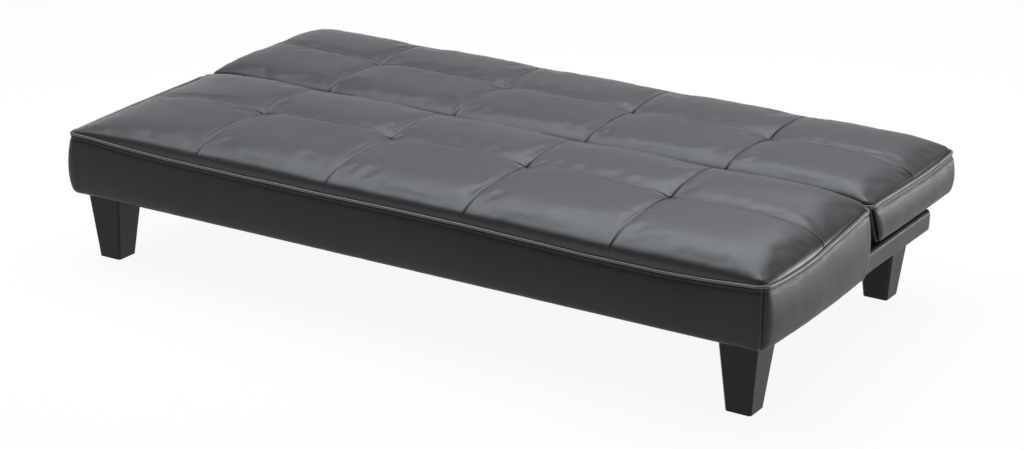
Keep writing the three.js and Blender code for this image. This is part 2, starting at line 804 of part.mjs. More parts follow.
// Zigzag springs arched from the front rail to the seat's rear rail, each end held under a clip
function zigzag(x) {
  const start = lining + railThickness / 2;
  const end = seatBackFace - railThickness / 2;
  const span = end - start;
  const lead = railThickness / 2 + clipLength / 2;
  const wireZ = seatRailTop + fit * 2 + wireRadius;
  const points = [];
  const put = (side, y) => {
    const lift = Math.sin((Math.PI * (y - start)) / span) * springArch;
    points.push(new THREE.Vector3(x + side * springWidth, y, wireZ + lift));
  };
  put(0, start);
  const pitch = (span - lead * 2) / springBends;
  for (let i = 0; i < springBends; i++) {
    const side = i % 2 ? -1 : 1;
    for (const share of bendShares) put(side, start + lead + pitch * (i + share));
  }
  put(0, end);
  const path = new THREE.CatmullRomCurve3(points, false, "catmullrom", bendTension);
  const section = new THREE.Shape(
    Array.from({ length: wireSides }, (_, i) =>
      at(wireRadius, 0).rotateAround(at(0, 0), (i / wireSides) * Math.PI * 2),
    ),
  );
  const wire = new THREE.ExtrudeGeometry(section, {
    steps: springBends * bendSteps,
    bevelEnabled: false,
    extrudePath: path,
  });
  const clips = [start, end].map((y) =>
    block(
      x - clipWidth / 2,
      x + clipWidth / 2,
      y - clipLength / 2,
      y + clipLength / 2,
      seatRailTop + fit,
      wireZ + wireRadius + fit,
    ),
  );
  return join(wire, ...clips);
}
const springPitch = length / springCount;
for (let i = 0; i < springCount; i++) {
  const x = springPitch * i + springPitch / 2 - halfLength;
  base.add(piece(`seat_spring_${i + 1}`, zigzag(x), spring()));
}

// Backrest: deep foam cushion with a soft lip in front of its frame
const leanAt = (z) => (frontUndercut * Math.min(Math.max(backEdgeFront - z, 0), backEdgeFront - backBottom)) /
  (backEdgeFront - backBottom);
const backBox = {
  x0: -halfLength,
  x1: halfLength,
  y0: backFront,
  y1: bedDepth,
  radius: cornerRadius,
  linings: { front: thinLining, rear: lining, left: lining, right: lining },
  bulges: { front: backFrontBulge, rear: bulge, left: bulge, right: bulge },
  edgeFront: backEdgeFront,
  edgeRear: backEdgeRear,
  dip: 0,
  tuftRow: backFront + backDepth * backTuftShare,
  lean: leanAt,
};

// The room that the hinge takes inside the backrest, and the slit that its fixed plate swings through
const pocketRadius = headRadius + clearance * 2;
const pocketInner = plateInner - fit - pivotHeadHeight - clearance / 2;
const pocketOuter = backSideInner + pivotHeadHeight + clearance / 2;
const slitTop = hingeZ + stemFront + clearance;
const pawlTop = hingeZ + pawlBoss + clearance;
function pocketOutline(floor) {
  const shape = new THREE.Shape();
  const enter = Math.PI - Math.asin((slitTop - hingeZ) / pocketRadius);
  const leave = Math.asin((pawlTop - hingeZ) / pocketRadius);
  shape.moveTo(seatDepth, floor);
  shape.lineTo(seatDepth, slitTop);
  shape.absarc(hingeY, hingeZ, pocketRadius, enter, leave, true);
  shape.lineTo(backFrameFront - fit, pawlTop);
  shape.lineTo(backFrameFront - fit, floor);
  return shape;
}
const pocketOf = (side) => plateOf(pocketOutline(sillTop), ...sided(side, pocketInner, pocketOuter));
const slitOf = (side) =>
  block(
    ...sided(side, plateInner - clearance, railInner + clearance),
    seatDepth,
    hingeY + stemWidth,
    0,
    slitTop,
  );
const backHollow = block(
  -halfLength - overrun,
  halfLength + overrun,
  backFrameFront - fit,
  bedDepth + overrun,
  backBottom - overrun,
  padOnBoard,
);
const backPad = cut(cushion(backBox, backFrameBottom), backHollow, pocketOf(-1), pocketOf(1));
backrest.add(piece("backrest_pad", backPad, vinyl()));
const backCovers = sideCovers(backBox, () => backBottom);
for (const [name, geometry] of Object.entries(backCovers)) {
  const shaped = name === "front" ? cut(geometry, slitOf(-1), slitOf(1)) : geometry;
  backrest.add(piece(`backrest_${name}_cover`, shaped, vinyl()));
}
backrest.add(piece("backrest_piping", piping(backBox), vinyl()));

// Backrest frame and the hardboard that carries its foam
const frontRailX = armInner - fit;
const rearRailX = backSideInner - fit;
const backRails = [
  ["backrest_front_rail", -frontRailX, frontRailX, backFrameFront, backFrameFront + backRailThickness],
  ["backrest_rear_rail", -rearRailX, rearRailX, backFrameRear - backRailThickness, backFrameRear],
  [
    "backrest_centre_rail",
    -backRailThickness / 2,
    backRailThickness / 2,
    backFrameFront + backRailThickness + fit,
    backFrameRear - backRailThickness - fit,
  ],
  ["backrest_left_rail", -railOuter, -backSideInner, backFrameFront, backFrameRear],
  ["backrest_right_rail", backSideInner, railOuter, backFrameFront, backFrameRear],
];
for (const [name, x0, x1, y0, y1] of backRails)
  backrest.add(piece(name, block(x0, x1, y0, y1, backFrameBottom, backRailTop), wood()));
backrest.add(
  piece(
    "backrest_board",
    block(-railOuter, railOuter, backFrameFront, backFrameRear, backRailTop + fit, padOnBoard - fit),
    board(),
  ),
);
const underTop = backFrameBottom - fit;
const underFront = backFront + leanAt(underTop - underSheet) + thinLining + fit;
const underSide = railOuter - fit;
const underEase = lining - thinLining + clearance;
const underCover = new THREE.ExtrudeGeometry(
  new THREE.Shape([
    at(-underSide + underEase, underFront),
    at(underSide - underEase, underFront),
    at(underSide, underFront + underEase),
    at(underSide, backFrameRear - fit),
    at(-underSide, backFrameRear - fit),
    at(-underSide, underFront + underEase),
  ]),
  { depth: underSheet, bevelEnabled: false },
).translate(0, 0, underTop - underSheet);
backrest.add(piece("backrest_under_cover", cut(underCover, slitOf(-1), slitOf(1)), cloth()));

// Fixed half of the hinge: a foot on the base rail, a stem and the round ratchet head
const pawlPivot = at(hingeY + pawlY, hingeZ - pawlDrop);
const toothTip = at(hingeY + headRadius + fit * 2, hingeZ - toothHeight / 2);
function turnedAbout(points, centre, degrees) {
  return points.map((p) => p.clone().rotateAround(centre, THREE.MathUtils.degToRad(degrees)));
}
const toothOutline = [
  toothTip,
  at(toothTip.x, toothTip.y + toothHeight),
  at(toothTip.x + toothRamp, toothTip.y + toothHeight + toothRamp / 2),
  at(toothTip.x + toothRamp * 2, toothTip.y + toothHeight + toothRamp / 2),
  at(toothTip.x + toothRamp * 2, toothTip.y),
];
const hinge = at(hingeY, hingeZ);
const notchOutline = turnedAbout(
  [
    at(toothTip.x - fit * 2, toothTip.y - fit * 2),
    at(toothTip.x - fit * 2, toothTip.y + toothHeight + fit * 2),
    at(toothTip.x + toothRamp, toothTip.y + toothHeight + toothRamp),
    at(toothTip.x + toothRamp * 2, toothTip.y + toothHeight + toothRamp),
    at(toothTip.x + toothRamp * 2, toothTip.y - fit * 2),
  ],
  pawlPivot,
  pawlTurn,
);

function fixedPlate(side) {
  const [x0, x1] = sided(side, plateInner, railInner);
  const foot = plateOf(
    [
      at(hingeY - footFront, frameBottom + stemFront),
      at(hingeY + footRear, frameBottom + stemFront),
      at(hingeY + footRear, frameBottom + footHeight),
      at(hingeY + stemWidth + gusset, frameBottom + footHeight + stemFront),
      at(hingeY + stemWidth - stemFront, frameBottom + footHeight + gusset / 2),
      at(hingeY + stemWidth - stemFront, hingeZ - stemFront),
      at(hingeY - stemFront, hingeZ - stemFront),
      at(hingeY - stemFront, frameBottom + footHeight + gusset / 2),
      at(hingeY - footFront, frameBottom + footHeight),
    ],
    x0,
    x1,
  );
  const head = barX(x0, x1, hingeY, hingeZ, headRadius, headFacets);
  const notches = ratchetStops.map((stop) =>
    plateOf(turnedAbout(notchOutline, hinge, stop), x0 - overrun, x1 + overrun),
  );
  const screws = footHoleShares.map((share) => {
    const y = hingeY - footFront + (footFront + footRear) * share;
    return barX(x0 - overrun, x1 + overrun, y, frameBottom + footHeight / 2, screwRadius, smallFacets);
  });
  const bore = barX(x0 - overrun, x1 + overrun, hingeY, hingeZ, pivotRadius + fit);
  return cut(join(foot, head), ...notches, ...screws, bore);
}

function pivotBolt(side) {
  const inner = plateInner - fit - pivotHeadHeight;
  const outer = backSideInner + pivotHeadHeight;
  const shank = barX(...sided(side, inner, outer), hingeY, hingeZ, pivotRadius);
  const head = barX(...sided(side, inner, plateInner - fit), hingeY, hingeZ, pivotHead);
  const nut = barX(...sided(side, backSideInner, outer), hingeY, hingeZ, pivotHead);
  return join(shank, head, nut);
}

// Moving half of the hinge: an arm on the backrest's side rail, with the pawl's stop bent out of it
function movingArm(side) {
  const [x0, x1] = sided(side, armInner, armInner + plate);
  const rear = hingeY + armReach;
  const [top, bottom] = [hingeZ - armRise, hingeZ - armDrop];
  const shape = new THREE.Shape([
    at(hingeY, hingeZ + armHead),
    at(backFrameFront, top),
    at(rear - armRise, top),
    at(rear, top - armRise),
    at(rear, bottom + armRise),
    at(rear - armRise, bottom),
    at(backFrameFront - armHead, bottom),
    at(hingeY, hingeZ - armHead),
  ]);
  const head = barX(x0, x1, hingeY, hingeZ, armHead);
  const [t0, t1] = sided(side, plateInner, armInner + plate / 2);
  const tabY = pawlPivot.x + pawlBoss * spineShare + fit;
  const tab = block(t0, t1, tabY, tabY + tabThickness, hingeZ - tabHeight, hingeZ);
  const holes = armHoleShares.map((share) =>
    barX(
      x0 - overrun,
      x1 + overrun,
      backFrameFront + (rear - backFrameFront) * share,
      hingeZ - armDrop / 2,
      screwRadius,
      smallFacets,
    ),
  );
  const bore = barX(x0 - overrun, x1 + overrun, hingeY, hingeZ, pivotRadius + fit + fit / 3);
  const pinHole = barX(x0 - overrun, x1 + overrun, pawlPivot.x, pawlPivot.y, pawlPin + fit + fit / 3);
  return cut(join(plateOf(shape, x0, x1), head, tab), ...holes, bore, pinHole);
}

// Pawl: a hooked steel lever that drops into the ratchet's notches, with its pin
function pawl(side) {
  const [x0, x1] = sided(side, plateInner, railInner);
  const hook = toothTip.x + toothRamp * hookShare;
  const spine = pawlPivot.x + pawlBoss * spineShare;
  const body = plateOf(
    [
      at(hook, toothTip.y - fit),
      at(hook, toothTip.y + toothHeight + toothRamp / 2),
      at(spine - toothRamp, hingeZ + pawlBoss),
      at(spine, hingeZ),
      at(spine, pawlPivot.y),
      at(pawlPivot.x - pawlBoss * heelShare, pawlPivot.y),
    ],
    x0,
    x1,
  );
  const boss = barX(x0, x1, pawlPivot.x, pawlPivot.y, pawlBoss);
  const [pin0, pin1] = sided(side, railInner - plate / 2, armInner + plate - fit);
  const pin = barX(pin0, pin1, pawlPivot.x, pawlPivot.y, pawlPin);
  return join(body, plateOf(toothOutline, x0, x1), boss, pin);
}

for (const [name, side] of sides) {
  base.add(
    piece(`hinge_${name}_ratchet`, fixedPlate(side), steel()),
    piece(`hinge_${name}_pivot`, pivotBolt(side), steel()),
  );
  backrest.add(piece(`hinge_${name}_arm`, movingArm(side), steel()));
  pawls.add(piece(`hinge_${name}_pawl`, pawl(side), steel()));
}

const sofaBed = new THREE.Group();
sofaBed.add(base, backrest, pawls);
sofaBed.position.y = -bedDepth / 2;

export default sofaBed;
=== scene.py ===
import math

import bpy
import numpy as np
from mathutils import Matrix, Vector


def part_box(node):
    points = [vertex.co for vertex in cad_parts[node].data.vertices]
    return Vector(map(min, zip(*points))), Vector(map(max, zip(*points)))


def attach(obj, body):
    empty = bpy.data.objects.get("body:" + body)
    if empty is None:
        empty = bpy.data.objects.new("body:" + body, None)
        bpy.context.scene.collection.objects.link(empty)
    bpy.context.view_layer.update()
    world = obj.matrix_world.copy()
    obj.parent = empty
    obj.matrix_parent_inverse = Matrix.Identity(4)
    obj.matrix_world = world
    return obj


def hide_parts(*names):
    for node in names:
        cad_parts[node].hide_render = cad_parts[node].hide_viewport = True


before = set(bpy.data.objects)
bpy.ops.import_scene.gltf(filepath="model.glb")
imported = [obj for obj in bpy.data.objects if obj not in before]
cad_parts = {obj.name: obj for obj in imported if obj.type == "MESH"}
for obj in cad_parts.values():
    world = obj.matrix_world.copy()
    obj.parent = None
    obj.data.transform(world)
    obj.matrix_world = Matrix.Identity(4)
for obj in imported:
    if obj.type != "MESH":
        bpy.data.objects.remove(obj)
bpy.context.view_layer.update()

# Legs and glides
# Four tapered square legs of solid wood in black satin lacquer, each bolted up into the base.
# A black moulded glide is nailed under each leg.


def new_material(name, roughness, metallic=0.0):
    material = bpy.data.materials.new(name)
    material.use_nodes = True
    shader = material.node_tree.nodes["Principled BSDF"]
    shader.inputs["Roughness"].default_value = roughness
    shader.inputs["Metallic"].default_value = metallic
    return material, material.node_tree, shader


def add_node(tree, kind, inputs=None, **settings):
    node = tree.nodes.new(kind)
    for name, value in settings.items():
        setattr(node, name, value)
    for name, value in (inputs or {}).items():
        if isinstance(value, bpy.types.NodeSocket):
            tree.links.new(value, node.inputs[name])
        else:
            node.inputs[name].default_value = value
    return node


def stretched(tree, scale=(1, 1, 1)):
    place = add_node(tree, "ShaderNodeTexCoord")
    mapping = add_node(tree, "ShaderNodeMapping", {"Vector": place.outputs["Object"], "Scale": scale})
    return mapping.outputs["Vector"]


def maths(tree, operation, *values):
    return add_node(tree, "ShaderNodeMath", dict(enumerate(values)), operation=operation).outputs["Value"]


def noise(tree, way, scale, detail, distortion=0.0):
    inputs = {"Vector": way, "Scale": scale, "Detail": detail, "Distortion": distortion}
    return add_node(tree, "ShaderNodeTexNoise", inputs).outputs["Fac"]


def colour_mix(tree, share, first, second):
    return add_node(tree, "ShaderNodeMix", {0: share, 6: first, 7: second}, data_type="RGBA").outputs[2]


def spread(tree, value, low, high):
    """Spreads a value from 0..1 over low..high."""
    inputs = {"Value": value, "To Min": low, "To Max": high}
    return add_node(tree, "ShaderNodeMapRange", inputs).outputs["Result"]


def open_group(name, inputs, outputs):
    """A shader group with these sockets, and the sockets that its inner nodes read."""
    group = bpy.data.node_groups.new(name, "ShaderNodeTree")
    for way, sockets in (("INPUT", inputs), ("OUTPUT", outputs)):
        for label, kind in sockets.items():
            group.interface.new_socket(label, in_out=way, socket_type="NodeSocket" + kind)
    return group, add_node(group, "NodeGroupInput").outputs


def tone_group():
    """Two shades and two gloss levels, drifting over the surface as a real finish does."""
    sockets = {"Vector": "Vector", "Dark": "Color", "Light": "Color", "Size": "Float"}
    sockets |= {"Gloss Low": "Float", "Gloss High": "Float"}
    group, source = open_group("uneven_finish", sockets, {"Color": "Color", "Roughness": "Float"})
    drift = noise(group, source["Vector"], source["Size"], 4.0)
    shades = colour_mix(group, drift, source["Dark"], source["Light"])
    sheen_share = noise(group, source["Vector"], source["Size"], 7.0, 0.8)
    gloss = spread(group, sheen_share, source["Gloss Low"], source["Gloss High"])
    add_node(group, "NodeGroupOutput", {"Color": shades, "Roughness": gloss})
    return group


uneven_finish = tone_group()


def use_tone(tree, shader, vector, dark, light, size, gloss):
    inputs = {"Vector": vector, "Dark": (*dark, 1.0), "Light": (*light, 1.0), "Size": size}
    inputs |= {"Gloss Low": gloss[0], "Gloss High": gloss[1]}
    tone = add_node(tree, "ShaderNodeGroup", inputs, node_tree=uneven_finish)
    tree.links.new(tone.outputs["Color"], shader.inputs["Base Color"])
    tree.links.new(tone.outputs["Roughness"], shader.inputs["Roughness"])


def use_bump(tree, shader, height, strength, distance):
    bump = add_node(tree, "ShaderNodeBump", {"Height": height, "Strength": strength, "Distance": distance})
    tree.links.new(bump.outputs["Normal"], shader.inputs["Normal"])


def finish_nodes(material, *names):
    for name in names:
        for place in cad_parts[name].material_slots:
            place.link = "OBJECT"
            place.material = material


corners = [f"{end}_{side}" for end in ("front", "rear") for side in ("left", "right")]

lacquer, tree, shader = new_material("black_satin_lacquer", 0.4)
grain_way = stretched(tree, (60.0, 60.0, 5.0))
use_tone(tree, shader, grain_way, (0.005, 0.005, 0.0055), (0.012, 0.0115, 0.011), 1.4, (0.36, 0.5))
use_bump(tree, shader, noise(tree, grain_way, 3.0, 6.0), 0.25, 0.0004)
shader.inputs["IOR"].default_value = 1.3
finish_nodes(lacquer, *(f"{corner}_leg" for corner in corners))

glide_plastic, tree, shader = new_material("black_glide_plastic", 0.6)
use_tone(tree, shader, stretched(tree), (0.012, 0.012, 0.012), (0.03, 0.03, 0.03), 90.0, (0.5, 0.75))
finish_nodes(glide_plastic, *(f"{corner}_glide" for corner in corners))

# Base frame
# Planed softwood rails glued and screwed together, with a block in each corner for the leg's bolt.
# The long rails have their grain along X, the side rails along Y.


def softwood(name, scale):
    material, tree, shader = new_material(name, 0.7)
    way = stretched(tree, scale)
    ring_inputs = {"Vector": way, "Scale": 1.5, "Distortion": 7.0, "Detail": 3.0, "Detail Scale": 1.2}
    rings = add_node(tree, "ShaderNodeTexWave", ring_inputs, wave_type="RINGS")
    fibre = noise(tree, way, 9.0, 8.0)
    blend = add_node(tree, "ShaderNodeMix", {0: 0.35, 2: rings.outputs["Fac"], 3: fibre}, data_type="FLOAT")
    tints = add_node(tree, "ShaderNodeValToRGB", {"Fac": blend.outputs[0]})
    tints.color_ramp.elements[0].color = (0.62, 0.44, 0.26, 1.0)
    tints.color_ramp.elements[1].color = (0.4, 0.245, 0.125, 1.0)
    tree.links.new(tints.outputs["Color"], shader.inputs["Base Color"])
    use_bump(tree, shader, fibre, 0.35, 0.0006)
    return material


pine_long = softwood("pine_along_the_length", (1.6, 34.0, 34.0))
pine_deep = softwood("pine_along_the_depth", (34.0, 1.6, 34.0))
finish_nodes(pine_long, "base_front_rail", "seat_rear_rail", "sill_rear_rail")
finish_nodes(pine_long, *(f"{corner}_block" for corner in corners))
finish_nodes(pine_deep, "base_left_rail", "base_right_rail", "seat_centre_rail")

# Steel: leg bolts, seat springs and the two ratchet hinges
# Zinc plated bolts and stamped hinge plates, and drawn wire springs. The pawls, the ratchets and the
# arms are the working steel of the folding mechanism.


def steel(name, dark, light, gloss, scale):
    material, tree, shader = new_material(name, 0.35, 1.0)
    way = stretched(tree, scale)
    use_tone(tree, shader, way, dark, light, 8.0, gloss)
    use_bump(tree, shader, noise(tree, way, 60.0, 6.0), 0.15, 0.0002)
    return material


plated = steel("zinc_plated_steel", (0.42, 0.42, 0.44), (0.66, 0.66, 0.67), (0.28, 0.5), (4, 4, 4))
stamped = steel("stamped_hinge_steel", (0.26, 0.26, 0.27), (0.47, 0.47, 0.48), (0.3, 0.52), (2, 9, 2))
wire = steel("drawn_spring_wire", (0.2, 0.2, 0.21), (0.42, 0.42, 0.43), (0.25, 0.42), (6, 2, 6))
finish_nodes(plated, *(f"{corner}_bolt" for corner in corners), "hinge_left_pivot", "hinge_right_pivot")
finish_nodes(wire, *(f"seat_spring_{number}" for number in range(1, 7)))
finish_nodes(
    stamped, *(f"hinge_{side}_{part}" for side in ("left", "right") for part in ("ratchet", "arm", "pawl"))
)

# Hinge screws
# Pan head wood screws through the stamped holes: three in each fixed foot, three in each moving arm.
# The foot's screws go into the base rail, the arm's into the backrest's side rail.
screw_head_radius = 0.0048
screw_head_height = 0.0022
screw_slot = 0.0011
slot_reach_share, slot_lift_share = 1.2, 0.63
foot_hole_shares = (0.14, 0.53, 0.88)
arm_hole_shares = (0.25, 0.55, 0.85)
foot_hole_rise = 0.015
arm_hole_drop = 0.052
arm_seat_gap = 0.0043


def geometry_tree(name, inputs):
    group = bpy.data.node_groups.new(name, "GeometryNodeTree")
    group.interface.new_socket("Geometry", in_out="INPUT", socket_type="NodeSocketGeometry")
    keys = {}
    for label, kind, value in (*inputs, ("Material", "Material", None)):
        socket = group.interface.new_socket(label, in_out="INPUT", socket_type="NodeSocket" + kind)
        if value is not None:
            socket.default_value = value
        keys[label] = socket.identifier
    group.interface.new_socket("Geometry", in_out="OUTPUT", socket_type="NodeSocketGeometry")
    return group, keys, add_node(group, "NodeGroupInput").outputs


def end_tree(group, source, copies):
    """Makes a tree's copies real, gives them its material and sends them out."""
    real = add_node(group, "GeometryNodeRealizeInstances", {"Geometry": copies.outputs["Instances"]})
    inputs = {"Geometry": real.outputs["Geometry"], "Material": source["Material"]}
    painted = add_node(group, "GeometryNodeSetMaterial", inputs)
    add_node(group, "NodeGroupOutput", {"Geometry": painted.outputs["Geometry"]})


def plain_mesh(name, points, faces, edges=()):
    mesh = bpy.data.meshes.new(name)
    mesh.from_pydata([tuple(p) for p in points], list(edges), [tuple(f) for f in faces])
    mesh.update()
    thing = bpy.data.objects.new(name, mesh)
    bpy.context.scene.collection.objects.link(thing)
    return thing


def evaluated_mesh(thing):
    return bpy.data.meshes.new_from_object(thing.evaluated_get(bpy.context.evaluated_depsgraph_get()))


def grow(carrier, group, keys, values, body):
    """Runs a tree on its carrier and keeps the result as a plain mesh on that body."""
    change = carrier.modifiers.new("grow", "NODES")
    change.node_group = group
    for label, value in values.items():
        change[keys[label]] = value
    made = evaluated_mesh(carrier)
    carrier.modifiers.remove(change)
    carrier.data = made
    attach(carrier, body)


def screw_tree():
    """A pan head with a cross slot on each face of the carrier, square to that face."""
    sizes = (("Radius", screw_head_radius), ("Height", screw_head_height), ("Slot", screw_slot))
    group, keys, source = geometry_tree("pan_head_screws", [(label, "Float", size) for label, size in sizes])
    disc = {"Vertices": 20, "Radius": source["Radius"], "Depth": source["Height"]}
    head = add_node(group, "GeometryNodeMeshCylinder", disc)
    reach = maths(group, "MULTIPLY", source["Radius"], slot_reach_share)
    size = add_node(group, "ShaderNodeCombineXYZ", {"X": source["Slot"], "Y": reach, "Z": source["Height"]})
    bar = add_node(group, "GeometryNodeMeshCube", {"Size": size.outputs["Vector"]})
    lift = maths(group, "MULTIPLY", source["Height"], slot_lift_share)
    raised = add_node(group, "ShaderNodeCombineXYZ", {"Z": lift})
    shift = {"Geometry": bar.outputs["Mesh"], "Translation": raised.outputs["Vector"]}
    lifted = add_node(group, "GeometryNodeTransform", shift).outputs["Geometry"]
    turn = {"Geometry": lifted, "Rotation": (0.0, 0.0, math.pi / 2)}
    crossed = add_node(group, "GeometryNodeTransform", turn).outputs["Geometry"]
    recess = add_node(group, "GeometryNodeMeshBoolean", operation="DIFFERENCE", solver="EXACT")
    group.links.new(head.outputs["Mesh"], recess.inputs["Mesh 1"])
    group.links.new(lifted, recess.inputs["Mesh 2"])
    group.links.new(crossed, recess.inputs["Mesh 2"])
    normal = add_node(group, "GeometryNodeInputNormal").outputs["Normal"]
    aim = add_node(group, "FunctionNodeAlignRotationToVector", {"Vector": normal}, axis="Z")
    kept = add_node(group, "GeometryNodeCaptureAttribute", {"Geometry": source["Geometry"]}, domain="FACE")
    kept.capture_items.new("ROTATION", "Aim")
    group.links.new(aim.outputs["Rotation"], kept.inputs["Aim"])
    seats = add_node(group, "GeometryNodeMeshToPoints", {"Mesh": kept.outputs["Geometry"]}, mode="FACES")
    inputs = {"Points": seats.outputs["Points"], "Instance": recess.outputs["Mesh"]}
    copies = add_node(group, "GeometryNodeInstanceOnPoints", inputs | {"Rotation": kept.outputs["Aim"]})
    end_tree(group, source, copies)
    return group, keys


screws, screw_keys = screw_tree()


def screw_row(name, places, body):
    """One small square face under each head, facing the way that the head does."""
    points, faces = [], []
    half = screw_head_radius / 2
    square = ((-half, -half), (half, -half), (half, half), (-half, half))
    for x, y, z, way in places:
        first = len(points)
        points += [(x, y + a * way, z + b) for a, b in square]
        faces.append(tuple(range(first, first + 4)))
    grow(plain_mesh(name, points, faces), screws, screw_keys, {"Material": plated}, body)


foot_places, arm_places = [], []
for side, way in (("left", -1), ("right", 1)):
    low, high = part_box(f"hinge_{side}_ratchet")
    foot_x = (low.x if way > 0 else high.x) - way * screw_head_height / 2
    for share in foot_hole_shares:
        foot_places.append((foot_x, low.y + (high.y - low.y) * share, low.z + foot_hole_rise, -way))
    _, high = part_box(f"hinge_{side}_arm")
    board_low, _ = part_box("backrest_board")
    rail_low, rail_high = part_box(f"backrest_{side}_rail")
    rail_inner = rail_low.x if way > 0 else rail_high.x
    arm_x = rail_inner - way * arm_seat_gap - way * screw_head_height / 2
    for share in arm_hole_shares:
        arm_places.append((arm_x, board_low.y + (high.y - board_low.y) * share, high.z - arm_hole_drop, -way))
screw_row("hinge_foot_screws", foot_places, "base")
screw_row("hinge_arm_screws", arm_places, "backrest")

# Dust cover
# Thin black non-woven cloth stapled flat under the base rails, with a row of wire staples round it.
# The legs' bolts pass through it.
cloth_thickness = 0.0007
cloth_sag = 0.0003
cloth_columns, cloth_rows = 90, 44
slack_reach, wave_count = 0.06, 7
staple_pitch = 0.045
staple_size = (0.005, 0.0007, 0.0004)
staple_inset = 0.009


def nonwoven():
    material, tree, shader = new_material("black_nonwoven_cloth", 0.95)
    way = stretched(tree)
    use_tone(tree, shader, way, (0.008, 0.008, 0.009), (0.022, 0.022, 0.024), 60.0, (0.88, 1.0))
    dots = add_node(tree, "ShaderNodeTexVoronoi", {"Vector": way, "Scale": 420.0})
    use_bump(tree, shader, dots.outputs["Distance"], 0.4, 0.0004)
    return material


cloth = nonwoven()


def soft_mesh(name, points, faces, pull_and_highlight=None):
    """A mesh with its quads shaded smooth, and a point mask of where its vinyl is painted paler: painted
    highlight, partly stretched vinyl.
    """
    thing = plain_mesh(name, points, faces)
    thing.data.polygons.foreach_set("use_smooth", [len(face) == 4 for face in faces])
    if pull_and_highlight is not None:
        marks = thing.data.attributes.new("pull_and_highlight", "FLOAT", "POINT")
        marks.data.foreach_set("value", pull_and_highlight)
    return thing


def cloth_sheet(name, low, high, seed):
    """A stapled cloth: nearly flat, slack between its staples, with a real thickness."""
    draws = np.random.default_rng(seed)
    xs = np.linspace(low.x, high.x, cloth_columns)
    ys = np.linspace(low.y, high.y, cloth_rows)
    gx, gy = np.meshgrid(xs, ys)
    edge = np.minimum.reduce([gx - low.x, high.x - gx, gy - low.y, high.y - gy])
    slack = np.clip(edge / slack_reach, 0, 1) ** 1.5
    wave = np.zeros_like(gx)
    for _ in range(wave_count):
        ax, ay = draws.uniform(4, 16, 2)
        wave += np.sin(gx * ax + draws.uniform(0, 6.3)) * np.sin(gy * ay + draws.uniform(0, 6.3))
    gz = high.z - 0.0002 + slack * cloth_sag * wave / wave_count
    rows, columns = gx.shape
    top = np.stack([gx, gy, gz], -1).reshape(-1, 3)
    under = top - [0, 0, cloth_thickness]
    faces = []
    count = rows * columns
    for r in range(rows - 1):
        for c in range(columns - 1):
            a, b = r * columns + c, r * columns + c + 1
            d, e = a + columns, b + columns
            faces += [(a, b, e, d), (count + a, count + d, count + e, count + b)]
    rim = (
        list(range(columns))
        + [r * columns + columns - 1 for r in range(1, rows)]
        + [(rows - 1) * columns + c for c in range(columns - 2, -1, -1)]
        + [r * columns for r in range(rows - 2, 0, -1)]
    )
    for a, b in zip(rim, rim[1:] + rim[:1]):
        faces.append((b, a, count + a, count + b))
    sheet = soft_mesh(name, np.vstack([top, under]), faces)
    sheet.data.materials.append(cloth)
    return sheet


low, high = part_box("dust_cover")
dust = cloth_sheet("dust_cloth", low, high, 3)
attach(dust, "base")
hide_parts("dust_cover")

# Staples under the dust cloth
# Fine wire staples, set end to end in a row round the frame, just inside the cloth's edge.


def bar_tree():
    """Short rounded bars laid end to end along a path: staples, and the stitches of the seams."""
    sizes = [("Pitch", "Float", staple_pitch), ("Bar", "Vector", staple_size)]
    group, keys, source = geometry_tree("bars_along_a_path", sizes)
    path = add_node(group, "GeometryNodeMeshToCurve", {"Mesh": source["Geometry"]})
    steps = {"Curve": path.outputs["Curve"], "Length": source["Pitch"]}
    spaced = add_node(group, "GeometryNodeResampleCurve", steps, mode="LENGTH")
    bar = add_node(group, "GeometryNodeMeshUVSphere", {"Segments": 6, "Rings": 4, "Radius": 1.0})
    way = add_node(group, "GeometryNodeInputTangent").outputs["Tangent"]
    aim = add_node(group, "FunctionNodeAlignRotationToVector", {"Vector": way}, axis="X")
    inputs = {"Points": spaced.outputs["Curve"], "Instance": bar.outputs["Mesh"]}
    inputs |= {"Rotation": aim.outputs["Rotation"], "Scale": source["Bar"]}
    end_tree(group, source, add_node(group, "GeometryNodeInstanceOnPoints", inputs))
    return group, keys


bars, bar_keys = bar_tree()


def bars_along(name, paths, pitch, size, material, body):
    """size is half the bar's length, width and thickness."""
    points, edges = [], []
    for path in paths:
        first = len(points)
        points += [tuple(p) for p in path]
        edges += [(k, k + 1) for k in range(first, len(points) - 1)]
    carrier = plain_mesh(name, points, [], edges)
    change = {"Pitch": pitch, "Bar": size, "Material": material}
    grow(carrier, bars, bar_keys, change, body)


def staple_row(name, low, high, body):
    """Staples round a cloth, a little in from its edge."""
    level = low.z + 0.0001
    a, b = low.x + staple_inset, high.x - staple_inset
    c, d = low.y + staple_inset, high.y - staple_inset
    ends = [(a, c, level), (b, c, level), (b, d, level), (a, d, level)]
    sides = list(zip(ends, ends[1:] + ends[:1]))
    bars_along(name, sides, staple_pitch, staple_size, plated, body)


staple_row("dust_cloth_staples", low, high, "base")

